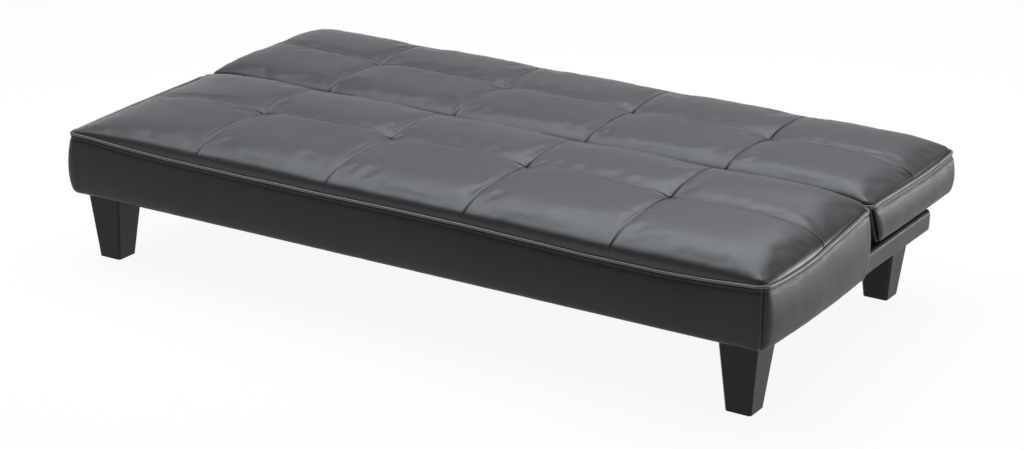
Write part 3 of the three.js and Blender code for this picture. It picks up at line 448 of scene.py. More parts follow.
# Seat cushion
# A deep foam pad under one top panel of black faux leather, sewn through in four columns and one row,
# with a pulled tack where they cross. The panel is let into the piping round its edge.
half_length = 0.84
corner_radius = 0.026
piping_radius = 0.0034
tuft_columns = (-0.504, -0.168, 0.168, 0.504)
panel_inset = 0.0052
end_skirt, skirt_drop = 0.0145, 0.006
tuft_depth, tuft_reach, seam_reach = 0.0125, 0.025, 0.07
groove_depth, groove_width = 0.0029, 0.0017
cross_dip = ((0.013, 0.002), (0.04, 0.0025))
length_dip = ((0.013, 0.003), (0.05, 0.003))
crease_depth, slow_depth = 0.0011, 0.0014
gather_depth, ripple_depth, uneven_depth = 0.0008, 0.0003, 0.0003
fine_step, coarse_step_x, coarse_step_y = 0.0012, 0.009, 0.008
cloth_step, cloth_slack, cloth_limit, cloth_frames = 0.0092, 0.002, 0.0015, 18
cloth_feel = {
    "quality": 6,
    "mass": 0.3,
    "tension_stiffness": 18.0,
    "compression_stiffness": 18.0,
    "shear_stiffness": 8.0,
    "bending_stiffness": 1.5,
    "vertex_group_mass": "held",
    "pin_stiffness": 1.0,
    "use_pressure": True,
    "uniform_pressure_force": 1.0,
    "shrink_min": -0.006,
}
seat = {
    "y0": -0.461,
    "y1": 0.017,
    "edge": (0.296, 0.303),
    "row": -0.2072,
    "skirt": (0.0145, 0.0087),
    "sag_front": (
        (-0.84, -0.788, -0.705, -0.595, -0.4, -0.15, 0.0, 0.17, 0.3, 0.45, 0.616, 0.701, 0.785, 0.84),
        (0.006, 0.008, 0.013, 0.017, 0.019, 0.019, 0.018, 0.018, 0.021, 0.024, 0.024, 0.021, 0.015, 0.011),
    ),
    "sag_right": (
        (-0.461, -0.42, -0.373, -0.306, -0.237, -0.186, -0.133, -0.061, 0.017),
        (0.011, 0.014, 0.017, 0.018, 0.016, 0.011, 0.008, 0.004, 0.0),
    ),
    "sag_left": ((-0.461, -0.35, -0.25, -0.15, 0.017), (0.006, 0.003, 0.001, 0.0, 0.0)),
    "sag_rear": ((-0.84, 0.84), (0.0, 0.0)),
    "rise": (0.003, 0.003, 0.004, 0.014),
    "wall": (0.4, 0.3, 0.75, 1.0),
    "crown": (0.085, 0.038, 0.04, 0.03),
    "height": 0.036,
    "meets": (0.0, 0.0, 0.0, 0.006),
    "tight": ((-1, -1, 0.007), (1, 1, 0.006), (-1, 1, 0.006)),
    "longer_left": 0.007,
    "bow_right": 0.008,
    "left_seam": 0.3,
    "seed": 11,
}


def middle_and_half(pad):
    """The middle of a cushion along Y, and half its depth."""
    return (pad["y0"] + pad["y1"]) / 2, (pad["y1"] - pad["y0"]) / 2


def depth_share(pad, y):
    """0 at a cushion's front, 1 at its rear."""
    return np.clip((y - pad["y0"]) / (pad["y1"] - pad["y0"]), 0, 1)


def edge_base(pad, y):
    """The level that the foam's edge is cut to, rising to the rear."""
    front, rear = pad["edge"]
    return front + (rear - front) * depth_share(pad, y)


def by_side(pad, x, y, values):
    """Blends one value for each side (left, right, front, rear) into the nearest side's value."""
    total, share = 0.0, 0.0
    for distance, value in zip((x + half_length, half_length - x, y - pad["y0"], pad["y1"] - y), values):
        weight = 1 / (np.maximum(distance, 0) + 0.002) ** 3
        total = total + weight * value
        share = share + weight
    return total / share


def edge_sag(pad, x, y):
    """How far the piping has sunk between the corners, where the panel is pulled down over the foam."""
    places = (("left", y), ("right", y), ("front", x), ("rear", x))
    return by_side(pad, x, y, [np.interp(place, *pad["sag_" + side]) for side, place in places])


def edge_height(pad, x, y):
    """Height of the piping's middle."""
    return edge_base(pad, y) - edge_sag(pad, x, y)


def inset_at(pad, x, y):
    """Distance in from the cushion's rounded outline."""
    middle, half = middle_and_half(pad)
    qx = np.abs(x) - (half_length - corner_radius)
    qy = np.abs(y - middle) - (half - corner_radius)
    outside = np.hypot(np.maximum(qx, 0), np.maximum(qy, 0))
    return corner_radius - outside - np.minimum(np.maximum(qx, qy), 0)


def nearest_column(x):
    return np.min([np.abs(x - column) for column in tuft_columns], axis=0)


def tuft_distance(pad, x, y):
    return np.min([np.hypot(x - column, y - pad["row"]) for column in tuft_columns], axis=0)


def sewn_corners(pad, x, y):
    """Pulls the outline out into its tighter corners, runs the left end on a little, bows the right."""
    middle, half = middle_and_half(pad)
    new_x, new_y = x, y
    for way_x, way_y, pull_and_highlight in pad["tight"]:
        away = np.hypot(x - way_x * half_length, y - middle - way_y * half)
        new_x = new_x + way_x * pull_and_highlight * np.exp(-((away / 0.02) ** 2))
        new_y = new_y + way_y * pull_and_highlight * np.exp(-((away / 0.02) ** 2))
    far = np.clip((-x - 0.52) / 0.32, 0, 1)
    near = np.clip((x - 0.6) / 0.24, 0, 1)
    bow = pad["bow_right"] * np.sin(math.pi * depth_share(pad, y)) ** 0.7
    new_x = new_x - pad["longer_left"] * far * far * (3 - 2 * far) + bow * near * near * (3 - 2 * near)
    return new_x, new_y


def seam_dip(distance, sharp, wide):
    """A channel's dip: a sharp part and a wide soft one, each with its reach and its depth."""
    return np.exp(-distance / sharp[0]) * sharp[1] + np.exp(-((distance / wide[0]) ** 2)) * wide[1]


def hump(height, distance, reach):
    """Rises from 0 to its height at the reach, and falls away beyond it."""
    return height * (distance / reach) * np.exp(1 - distance / reach)


def cushion_shape(pad, gx, gy):
    """The soft top over a flat grid: a steep roll up from the piping, a low crown, tufts and channels."""
    inset = np.clip(inset_at(pad, gx, gy) - panel_inset, 0, None)
    sag = edge_sag(pad, gx, gy)
    steep = by_side(pad, gx, gy, pad["wall"]) * sag
    rise = by_side(pad, gx, gy, pad["rise"]) + steep
    reach = 0.003 + 0.14 * rise
    roll = 1 - np.exp(-((inset / reach) ** 1.3))
    sides = (gx + half_length, half_length - gx, gy - pad["y0"], pad["y1"] - gy)
    swell = 1.0
    for side, width in zip(sides, pad["crown"]):
        swell = swell * (1 - np.exp(-np.clip(side - panel_inset, 0, None) / width))
    across, along, tuft = nearest_column(gx), np.abs(gy - pad["row"]), tuft_distance(pad, gx, gy)
    by_tuft = np.exp(-tuft / seam_reach)
    fade = 1 - np.exp(-inset / 0.04)
    cross = (0.5 + 0.5 * by_tuft) * seam_dip(across, *cross_dip)
    length = (0.2 + 0.8 * by_tuft) * seam_dip(along, *length_dip)
    length = length * (1 - (1 - pad["left_seam"]) * np.clip((-0.53 - gx) / 0.06, 0, 1))
    z = edge_base(pad, gy) - sag + rise * roll + (pad["height"] + sag - steep) * swell
    z = z - tuft_depth * np.exp(-tuft / tuft_reach) - np.maximum(cross, length) * fade
    z = z + slow_depth * smooth_noise(gx, gy, 0.17, 0.13, pad["seed"] + 3) * fade
    # The roll stands out over the piping, most where the piping has sunk most. Where the two cushions
    # meet, each puff also swells towards the other.
    proud = hump(0.32 * np.clip(rise - 0.004, 0, None), inset, 0.008)
    puff = hump(1 - 0.8 * np.exp(-((across / 0.03) ** 2)), inset, 0.013)
    weights = [1 / (np.maximum(side, 0) + 0.002) ** 4 for side in sides]
    whole = sum(weights)
    left, right, front, rear = (
        weight / whole * (proud + puff * meets) for weight, meets in zip(weights, pad["meets"])
    )
    x, y = sewn_corners(pad, gx + right - left, gy + rear - front)
    return x, y, z


def lines_between(start, end, fine_at, fine, coarse):
    """Grid lines from start to end, close together near the places in fine_at."""
    lines = [start]
    while lines[-1] < end:
        gap = min(abs(lines[-1] - place) for place in fine_at)
        lines.append(lines[-1] + fine + (coarse - fine) * min(gap / 0.05, 1.0) ** 1.5)
    lines = np.array(lines)
    lines = start + (lines - start) * (end - start) / (lines[-1] - start)
    for place in fine_at:
        lines[np.argmin(np.abs(lines - place))] = place
    return lines


def round_corners(pad, gx, gy, inset):
    """Moves a rectangular grid's corner squares onto the quarter rounds of the outline."""
    radius = corner_radius - inset
    middle, half = middle_and_half(pad)
    flat_x, flat_y = half_length - corner_radius, half - corner_radius
    s = np.clip((np.abs(gx) - flat_x) / radius, 0, 1)
    t = np.clip((np.abs(gy - middle) - flat_y) / radius, 0, 1)
    x = np.where(s > 0, flat_x + radius * s * np.sqrt(1 - t * t / 2), np.abs(gx)) * np.sign(gx)
    y = np.where(t > 0, flat_y + radius * t * np.sqrt(1 - s * s / 2), np.abs(gy - middle))
    return x, middle + y * np.sign(gy - middle)


def smooth_noise(x, y, size_x, size_y, seed):
    """Soft value noise in -1..1 on lattice cells of the given size."""
    lattice = np.random.default_rng(seed).uniform(-1, 1, (257, 257))
    u, v = x / size_x + 128.5, y / size_y + 128.5
    i, j = np.floor(u).astype(int), np.floor(v).astype(int)
    f, g = u - i, v - j
    f, g = f * f * (3 - 2 * f), g * g * (3 - 2 * g)
    i, j = i % 256, j % 256
    a = lattice[i, j] * (1 - f) + lattice[i + 1, j] * f
    b = lattice[i, j + 1] * (1 - f) + lattice[i + 1, j + 1] * f
    return a * (1 - g) + b * g


def grid_faces(rows, columns, first=0):
    a = first + (np.arange(rows - 1)[:, None] * columns + np.arange(columns - 1)[None, :]).ravel()
    return np.stack([a, a + 1, a + columns + 1, a + columns], 1)


def blown_cloth(pad, name):
    """A spare cloth over the foam, blown up against its seams: how far it moves from the crown."""
    draws = np.random.default_rng(pad["seed"])
    y0, y1 = pad["y0"] + panel_inset, pad["y1"] - panel_inset
    xs = np.linspace(-half_length + panel_inset, half_length - panel_inset, int(2 * half_length / cloth_step))
    ys = np.linspace(y0, y1, int((pad["y1"] - pad["y0"]) / cloth_step))
    gx, gy = np.meshgrid(xs, ys)
    flat_x, flat_y = round_corners(pad, gx, gy, panel_inset)
    x, y, z = cushion_shape(pad, flat_x, flat_y)
    z = z - cloth_slack + draws.uniform(-0.0003, 0.0003, x.shape)
    rows, columns = x.shape
    start = np.stack([x, y, z], -1).reshape(-1, 3)
    thing = plain_mesh(name, start, grid_faces(rows, columns))
    held = thing.vertex_groups.new(name="held")
    rim = np.zeros((rows, columns))
    rim[0], rim[-1], rim[:, 0], rim[:, -1] = 1, 1, 1, 1
    tuft = np.exp(-((tuft_distance(pad, flat_x, flat_y) / 0.009) ** 2))
    seam = np.maximum(nearest_column(gx) < cloth_step / 2, np.abs(gy - pad["row"]) < cloth_step / 2)
    grip = np.maximum(rim, np.maximum(tuft, seam * 0.8)).ravel()
    for level in np.unique(np.round(grip, 2)):
        if level > 0:
            picked = np.nonzero(np.round(grip, 2) == level)[0]
            held.add([int(k) for k in picked], float(level), "REPLACE")
    change = thing.modifiers.new("cloth", "CLOTH")
    for setting, value in cloth_feel.items():
        setattr(change.settings, setting, value)
    change.settings.effector_weights.gravity = 0.0
    change.collision_settings.use_collision = False
    change.point_cache.frame_start, change.point_cache.frame_end = 1, cloth_frames
    for number in range(1, cloth_frames + 1):
        bpy.context.scene.frame_set(number)
    shown = thing.evaluated_get(bpy.context.evaluated_depsgraph_get())
    mesh = shown.to_mesh()
    end = np.empty(len(mesh.vertices) * 3)
    mesh.vertices.foreach_get("co", end)
    shown.to_mesh_clear()
    moved = end.reshape(-1, 3) - start + [0, 0, -cloth_slack]
    far = np.linalg.norm(moved, axis=1, keepdims=True)
    moved = moved * np.minimum(1.0, cloth_limit / np.maximum(far, 1e-9))
    bpy.data.objects.remove(thing, do_unlink=True)
    bpy.context.scene.frame_set(1)
    return xs, ys, moved.reshape(rows, columns, 3)


def spline_weights(old, new):
    """Weights of a smooth curve through evenly spaced values, read at new places."""
    step = old[1] - old[0]
    place = np.clip((new - old[0]) / step, 0, len(old) - 1.000001)
    base = np.floor(place).astype(int)
    f = place - base
    parts = [
        -0.5 * f + f**2 - 0.5 * f**3,
        1 - 2.5 * f**2 + 1.5 * f**3,
        0.5 * f + 2 * f**2 - 1.5 * f**3,
        -0.5 * f**2 + 0.5 * f**3,
    ]
    weights = np.zeros((len(new), len(old)))
    for shift, part in zip((-1, 0, 1, 2), parts):
        np.add.at(weights, (np.arange(len(new)), np.clip(base + shift, 0, len(old) - 1)), part)
    return weights


def cushion_top(pad, name):
    """The finished top surface on a fine grid, with a mask of where the vinyl is painted paler round the
    tacks and along the rolls: painted highlight, partly stretched vinyl.
    """
    seam_x = (-half_length + panel_inset, *tuft_columns, half_length - panel_inset)
    seam_y = (pad["y0"] + panel_inset, pad["row"], pad["y1"] - panel_inset)
    xs = lines_between(seam_x[0], seam_x[-1], seam_x, fine_step, coarse_step_x)
    ys = lines_between(seam_y[0], seam_y[-1], seam_y, fine_step, coarse_step_y)
    gx, gy = np.meshgrid(xs, ys)
    flat_x, flat_y = round_corners(pad, gx, gy, panel_inset)
    x, y, z = cushion_shape(pad, flat_x, flat_y)
    inset = inset_at(pad, flat_x, flat_y) - panel_inset
    tuft = tuft_distance(pad, flat_x, flat_y)
    old_x, old_y, moved = blown_cloth(pad, name + "_cloth")
    moved = np.einsum("ri,ijk->rjk", spline_weights(old_y, ys), moved)
    moved = np.einsum("cj,rjk->rck", spline_weights(old_x, xs), moved)
    x, y, z = x + moved[..., 0], y + moved[..., 1], z + moved[..., 2]
    # Seams: a fine groove, deepest by the tacks and the piping, with the vinyl raised on each side
    by_end = np.maximum(np.exp(-tuft / 0.06), np.exp(-inset / 0.05))
    for across, least in ((nearest_column(gx), 0.4), (np.abs(gy - pad["row"]), 0.12)):
        near = least + (1 - least) * by_end
        groove = groove_depth * np.exp(-((across / groove_width) ** 2))
        groove = groove - 0.0008 * np.exp(-(((across - 0.005) / 0.003) ** 2))
        z = z - near * groove
    # Short creases that run out from each tack
    for k, column in enumerate(tuft_columns):
        away = np.hypot(gx - column, gy - pad["row"])
        turn = np.arctan2(gy - pad["row"], gx - column)
        crease = np.cos(turn * 5 + k * 1.7 + pad["seed"]) + 0.6 * np.cos(turn * 9 + k * 2.9)
        z = z + crease_depth * crease * np.exp(-away / 0.03) * (1 - np.exp(-away / 0.007))
    # Gathers beside the piping, where the panel is eased in, and a slow unevenness over the foam
    sideways = np.minimum(gx - xs[0], xs[-1] - gx)
    deepways = np.minimum(gy - ys[0], ys[-1] - gy)
    gather = np.exp(-inset / 0.03) * (1 - np.exp(-inset / 0.005))
    ripple = np.where(
        sideways < deepways,
        smooth_noise(gy, gx, 0.016, 0.06, pad["seed"] + 1),
        smooth_noise(gx, gy, 0.016, 0.06, pad["seed"] + 2),
    )
    z = z + gather_depth * gather * ripple + ripple_depth * ripple * np.exp(-(((inset - 0.035) / 0.02) ** 2))
    z = z + uneven_depth * smooth_noise(gx, gy, 0.045, 0.04, pad["seed"] + 4) * (1 - np.exp(-inset / 0.04))
    # Paler colour painted round each tack and along the rolls by the piping: a painted highlight, partly
    # stretched vinyl.
    pull_and_highlight = np.clip(np.exp(-tuft / 0.04) + np.exp(-inset / 0.02) * 0.6, 0, 1)
    return xs, ys, x, y, z, pull_and_highlight


def cushion_body(name, pad, bottom):
    """Closes the top with a skirt inside the piping and an underside at the bottom's height."""
    xs, ys, x, y, z, pull_and_highlight = cushion_top(pad, name)
    rows, columns = x.shape
    inset_front, inset_rear = pad["skirt"]
    outer = half_length - panel_inset
    middle, half = middle_and_half(pad)
    low_front, low_rear = pad["y0"] + inset_front, pad["y1"] - inset_rear
    plain_x, plain_y = round_corners(pad, *np.meshgrid(xs, ys), panel_inset)
    under_x = plain_x * (half_length - end_skirt) / outer
    reach = half - panel_inset
    under_y = (low_front + low_rear) / 2 + (plain_y - middle) * (low_rear - low_front) / 2 / reach
    under_z = bottom(under_x, under_y)
    edge = np.maximum(edge_height(pad, plain_x, plain_y) - skirt_drop, under_z + 0.0004)
    under_x, under_y = sewn_corners(pad, under_x, under_y)
    top = np.stack([x, y, z], -1).reshape(-1, 3)
    under = np.stack([under_x, under_y, under_z], -1).reshape(-1, 3)
    inner = np.arange(rows * columns).reshape(rows, columns)
    ring = np.concatenate([inner[0, :-1], inner[:-1, -1], inner[-1, :0:-1], inner[:0:-1, 0]])
    waist = np.stack([under_x, under_y, edge], -1).reshape(-1, 3)[ring]
    count = rows * columns
    points = np.vstack([top, under, waist])
    faces = [grid_faces(rows, columns), grid_faces(rows, columns, count)[:, ::-1]]
    after = np.roll(ring, -1)
    place = 2 * count + np.arange(len(ring))
    faces.append(np.stack([ring, place, np.roll(place, -1), after], 1))
    faces.append(np.stack([place, ring + count, after + count, np.roll(place, -1)], 1))
    pull_and_highlight = np.concatenate([pull_and_highlight.ravel(), np.zeros(count + len(ring))])
    return soft_mesh(name, points, np.vstack(faces), pull_and_highlight), (xs, ys, x, y, z)


def grain_group():
    """Pressed pebble grain of faux leather: its height, a slow shade and a slow gloss."""
    sockets = {"Vector": "Vector", "Dark": "Color", "Light": "Color"}
    sockets |= {"Gloss Low": "Float", "Gloss High": "Float"}
    results = {"Color": "Color", "Roughness": "Float", "Height": "Float"}
    group, source = open_group("faux_leather_grain", sockets, results)
    way = source["Vector"]
    warp = add_node(group, "ShaderNodeTexNoise", {"Vector": way, "Scale": 260.0, "Detail": 2.0})
    shift = add_node(group, "ShaderNodeVectorMath", {0: warp.outputs["Color"], 3: 0.0012}, operation="SCALE")
    bent = add_node(group, "ShaderNodeVectorMath", {0: way, 1: shift.outputs["Vector"]}).outputs["Vector"]
    pebble = add_node(group, "ShaderNodeTexVoronoi", {"Vector": bent, "Scale": 620.0}, feature="SMOOTH_F1")
    crease = noise(group, bent, 90.0, 5.0, 1.2)
    height = maths(group, "MULTIPLY_ADD", pebble.outputs["Distance"], -0.7, crease)
    colour = colour_mix(group, noise(group, way, 5.0, 3.0), source["Dark"], source["Light"])
    gloss = spread(group, noise(group, way, 28.0, 6.0), source["Gloss Low"], source["Gloss High"])
    add_node(group, "NodeGroupOutput", {"Color": colour, "Roughness": gloss, "Height": height})
    return group


faux_leather_grain = grain_group()


def vinyl(name, dark, light, gloss, grain=0.25, stretch_and_highlight_tone=(0.05, 0.05, 0.052), ior=1.5):
    """Black faux leather, painted paler where its point mask is high: a painted highlight, with a painted
    floor reflection low on the side covers, and partly stretched vinyl.
    """
    material, tree, shader = new_material(name, sum(gloss) / 2)
    place = add_node(tree, "ShaderNodeTexCoord").outputs["Object"]
    inputs = {"Vector": place, "Dark": (*dark, 1.0), "Light": (*light, 1.0)}
    inputs |= {"Gloss Low": gloss[0], "Gloss High": gloss[1]}
    skin = add_node(tree, "ShaderNodeGroup", inputs, node_tree=faux_leather_grain)
    pull_and_highlight = add_node(tree, "ShaderNodeAttribute", attribute_name="pull_and_highlight")
    # Share of the paler tone: painted highlight and painted floor reflection, partly stretched vinyl.
    sheen_share = maths(tree, "MULTIPLY", pull_and_highlight.outputs["Fac"], 0.35)
    colour = colour_mix(tree, sheen_share, skin.outputs["Color"], (*stretch_and_highlight_tone, 1.0))
    tree.links.new(colour, shader.inputs["Base Color"])
    tree.links.new(skin.outputs["Roughness"], shader.inputs["Roughness"])
    use_bump(tree, shader, skin.outputs["Height"], grain, 0.0004)
    shader.inputs["IOR"].default_value = ior
    return material


top_vinyl = vinyl("black_vinyl_top", (0.013, 0.0125, 0.0145), (0.023, 0.0225, 0.0255), (0.33, 0.44))
foam_level, rail_step, spring_half = 0.2473, 0.0118, 0.745


def seat_bottom(x, y):
    """The foam lies on the springs, and on the side rails beyond them."""
    return foam_level - rail_step * np.clip((np.abs(x) - spring_half) / 0.015, 0, 1)


seat_cushion, seat_top = cushion_body("seat_cushion", seat, seat_bottom)
seat_cushion.data.materials.append(top_vinyl)
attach(seat_cushion, "base")
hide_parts("seat_pad")

# Seat channel stitches
# Black bonded thread, one row of long stitches at the bottom of each sewn channel.
stitch_pitch = 0.0052
stitch_size = (0.0021, 0.00042, 0.00036)
stitch_lift, lines_left_out = 0.0003, 4

thread, tree, shader = new_material("black_bonded_thread", 0.55)
use_tone(tree, shader, stretched(tree), (0.01, 0.01, 0.011), (0.035, 0.035, 0.037), 400.0, (0.4, 0.65))


def stitch_row(name, top, pad, body):
    """Stitches along the bottom of each channel, a little above the vinyl."""
    xs, ys, x, y, z = top
    grid = np.stack([x, y, z + stitch_lift], -1)
    sewn = slice(lines_left_out, -lines_left_out)
    paths = [grid[sewn, np.argmin(np.abs(xs - column))] for column in tuft_columns]
    paths.append(grid[np.argmin(np.abs(ys - pad["row"])), sewn])
    bars_along(name, paths, stitch_pitch, stitch_size, thread, body)


stitch_row("seat_stitches", seat_top, seat, "base")

# Seat side covers
# Padded faux leather panels round the base, sewn to the piping above, joined by an upright seam at
# each corner, pulled down over the rails and stapled under them.


def outline_point(pad, inset, stop):
    """A point of the cushion's outline at an inset: stop is a side with a share, or a corner angle."""
    kind, value = stop
    radius = max(corner_radius - inset, 0.002)
    x = half_length - inset - radius
    y0, y1 = pad["y0"] + inset + radius, pad["y1"] - inset - radius
    if kind == "front":
        return x * (2 * value - 1), y0 - radius
    if kind == "rear":
        return x * (1 - 2 * value), y1 + radius
    if kind == "right":
        return x + radius, y0 + (y1 - y0) * value
    if kind == "left":
        return -x - radius, y1 - (y1 - y0) * value
    cx = x if math.cos(value) > 0 else -x
    cy = y1 if math.sin(value) > 0 else y0
    return cx + radius * math.cos(value), cy + radius * math.sin(value)


def panel_stops(side, count):
    """Stations of one panel, from the middle of a corner to the middle of the next."""
    turn = {"front": -0.5, "right": 0.0, "rear": 0.5, "left": 1.0}[side] * math.pi
    arc = 9
    stops = [("arc", turn - math.pi / 4 + math.pi / 4 * k / arc) for k in range(arc)]
    shares = (1 - np.cos(np.linspace(0, 1, count) * math.pi)) / 2 * 0.35 + np.linspace(0, 1, count) * 0.65
    stops += [(side, share) for share in shares]
    stops += [("arc", turn + math.pi / 4 * k / arc) for k in range(1, arc + 1)]
    return stops


def side_cover(name, pad, side, foot, bulge, lining, count, seed, lean=lambda z: 0.0, round_foot=0.003):
    """A closed padded panel: bellied outside, folded in under the piping, lined inside."""
    stops = panel_stops(side, count)
    spots = np.array([outline_point(pad, 0.0, stop) for stop in stops])
    gone = np.concatenate([[0], np.cumsum(np.hypot(*np.diff(spots.T)))])
    end = np.minimum(gone, gone[-1] - gone)[:, None]
    top = (edge_height(pad, spots[:, 0], spots[:, 1]) - piping_radius)[:, None]
    share = (np.linspace(0, 0.1, 6)[:-1], np.linspace(0.1, 0.9, 15)[:-1], np.linspace(0.9, 1, 7))
    share = np.concatenate(share)[None, :]
    z = foot + (top - foot) * share
    s = gone[:, None] + 0 * z
    swell = np.clip(np.sin(math.pi * share**0.9), 0, 1) ** 0.8
    belly = bulge * (1 - 0.3 * np.exp(-end / 0.03))
    soft = 0.0013 * smooth_noise(s, z, 0.16, 0.07, seed) + 0.0005 * smooth_noise(s, z, 0.03, 0.09, seed + 1)
    gather = 0.0009 * share**6 * smooth_noise(s, 0 * s, 0.013, 1.0, seed + 2)
    staples = 0.0006 * (1 - share) ** 8 * smooth_noise(s, 0 * s, 0.024, 1.0, seed + 3)
    roll = round_foot * np.exp(-share * (top - foot) / 0.0045)
    welt = 0.0012 * np.exp(-(((1 - share) * (top - foot) - 0.006) / 0.003) ** 2)
    inset = 0.0016 - (belly + soft) * swell + gather + staples + roll + welt
    inset = inset + 0.0024 * np.exp(-end / 0.0035) * np.minimum(1, (1 - share) * (top - foot) / 0.006)
    # Paler colour painted by the corner seams and low on the panel: a painted highlight at the corners and a
    # painted floor reflection towards the foot.
    pull_and_highlight = 0.4 * np.exp(-end / 0.02) + 0.6 * np.exp(-share * (top - foot) / 0.006)
    inside = [
        (0.0048, top + 0.0012),
        (lining - 0.003, top + 0.0002),
        (lining - 0.0006, top - 0.003),
        (lining - 0.0006, foot + 0.004 + 0 * top),
        (lining - 0.003, foot + 0.0004 + 0 * top),
    ]
    inset = np.hstack([inset] + [depth + 0 * top for depth, level in inside])
    z = np.hstack([z] + [level for depth, level in inside])
    pull_and_highlight = np.hstack([pull_and_highlight] + [0 * top] * len(inside))
    rows, across = z.shape
    places = [[outline_point(pad, depth, stop) for depth in row] for row, stop in zip(inset, stops)]
    x, y = sewn_corners(pad, *np.moveaxis(np.array(places), -1, 0))
    reach = np.clip((pad["row"] - y) / (pad["row"] - pad["y0"]), 0, 1)
    y = y + np.vectorize(lean)(z) * reach
    faces = grid_faces(rows, across)[:, ::-1]
    first = np.arange(rows) * across
    seam = np.stack([first[:-1], first[1:], first[1:] + across - 1, first[:-1] + across - 1], 1)
    faces = [tuple(int(k) for k in face) for face in np.vstack([faces, seam[:, ::-1]])]
    faces.append(tuple(range(across)))
    faces.append(tuple(range((rows - 1) * across, rows * across))[::-1])
    return soft_mesh(name, np.stack([x, y, z], -1).reshape(-1, 3), faces, np.clip(pull_and_highlight, 0, 1).ravel())


# The sides' and sill's vinyl is a darker copy of the top vinyl: painted shade on the upright faces.
shaded_side_tones = (0.008, 0.008, 0.008), (0.019, 0.0195, 0.0185)
shaded_side_vinyl = vinyl("black_vinyl_side_painted_darker", *shaded_side_tones, (0.34, 0.52), 0.4, (0.03, 0.03, 0.03), 1.35)
thick_lining, thin_lining, cover_bulge = 0.014, 0.008, 0.0095
seat_foot = {"front": 0.1553, "right": 0.1553, "left": 0.1553, "rear": 0.206}
for number, side in enumerate(("front", "right", "rear", "left")):
    padding = (0.0, thin_lining) if side == "rear" else (cover_bulge, thick_lining)
    count = 300 if side in ("front", "rear") else 110
    panel = side_cover(f"seat_{side}_panel", seat, side, seat_foot[side], *padding, count, 20 + number * 5)
    panel.data.materials.append(shaded_side_vinyl)
    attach(panel, "base")
    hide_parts(f"seat_{side}_cover")

# Seat piping
# A cord wrapped in a strip of the same faux leather, sewn in between the top and the side covers.
piping_sides = 16


def piping_ring(name, pad, seed):
    stops = []
    for side, count in (("front", 330), ("right", 100), ("rear", 330), ("left", 100)):
        stops += panel_stops(side, count)[:-1]
    centre = np.array([outline_point(pad, piping_radius - 0.0005, stop) for stop in stops])
    level = edge_height(pad, centre[:, 0], centre[:, 1])
    middle = np.column_stack([*sewn_corners(pad, centre[:, 0], centre[:, 1]), level])
    way = np.roll(middle, -1, 0) - np.roll(middle, 1, 0)
    way /= np.linalg.norm(way, axis=1, keepdims=True)
    out = np.cross(way, [0, 0, 1])
    out /= np.linalg.norm(out, axis=1, keepdims=True)
    up = np.cross(out, way)
    s = np.concatenate([[0], np.cumsum(np.linalg.norm(np.diff(middle, axis=0), axis=1))])
    thick = piping_radius * (1 + 0.03 * smooth_noise(s, s * 0, 0.03, 1.0, seed))
    middle[:, 2] += 0.0004 * smooth_noise(s, s * 0, 0.05, 1.0, seed + 1)
    turns = np.arange(piping_sides) / piping_sides * 2 * math.pi
    rings = (
        middle[:, None]
        + out[:, None] * (np.cos(turns)[None, :, None] * thick[:, None, None])
        + up[:, None] * (np.sin(turns)[None, :, None] * thick[:, None, None])
    )
    count = len(middle)
    ids = np.arange(count * piping_sides).reshape(count, piping_sides)
    ahead = np.roll(ids, -1, 0)
    faces = np.stack([ids, ahead, np.roll(ahead, -1, 1), np.roll(ids, -1, 1)], -1).reshape(-1, 4)
    # The upper half of the cord painted paler: a painted highlight along the piping's top.
    pull_and_highlight = np.tile(np.clip(np.sin(turns), 0, 1) ** 2, count)
    return soft_mesh(name, rings.reshape(-1, 3), faces, pull_and_highlight)


# The piping's vinyl is a paler, glossier copy of the top vinyl: a painted highlight along the piping.
lit_piping_tones = (0.02, 0.02, 0.021), (0.034, 0.034, 0.036)
lit_piping_vinyl = vinyl("black_vinyl_piping_painted_paler", *lit_piping_tones, (0.27, 0.36), 0.03, ior=1.8)
seat_piping = piping_ring("seat_piping_cord", seat, 31)
seat_piping.data.materials.append(lit_piping_vinyl)
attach(seat_piping, "base")
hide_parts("seat_piping")

# Sill covers
# The low rear part of the base, behind the seat, wrapped in faux leather over thin wadding.
# Three strips, joined at the rear corners, turned in over the rail and stapled.
sill = {"y1": 0.366, "x": 0.8355, "radius": 0.017, "front": 0.0096, "softness": 0.0011}


def sill_point(inset, stop):
    """As outline_point, round the sill's three sides."""
    kind, value = stop
    radius = max(sill["radius"] - inset, 0.0015)
    x, y = sill["x"] - inset - radius, sill["y1"] - inset - radius
    start = sill["front"]
    if kind == "right":
        return x + radius, start + (y - start) * value
    if kind == "left":
        return -x - radius, y - (y - start) * value
    if kind == "rear":
        return x * (1 - 2 * value), y + radius
    cx = x if math.cos(value) > 0 else -x
    return cx + radius * math.cos(value), y + radius * math.sin(value)


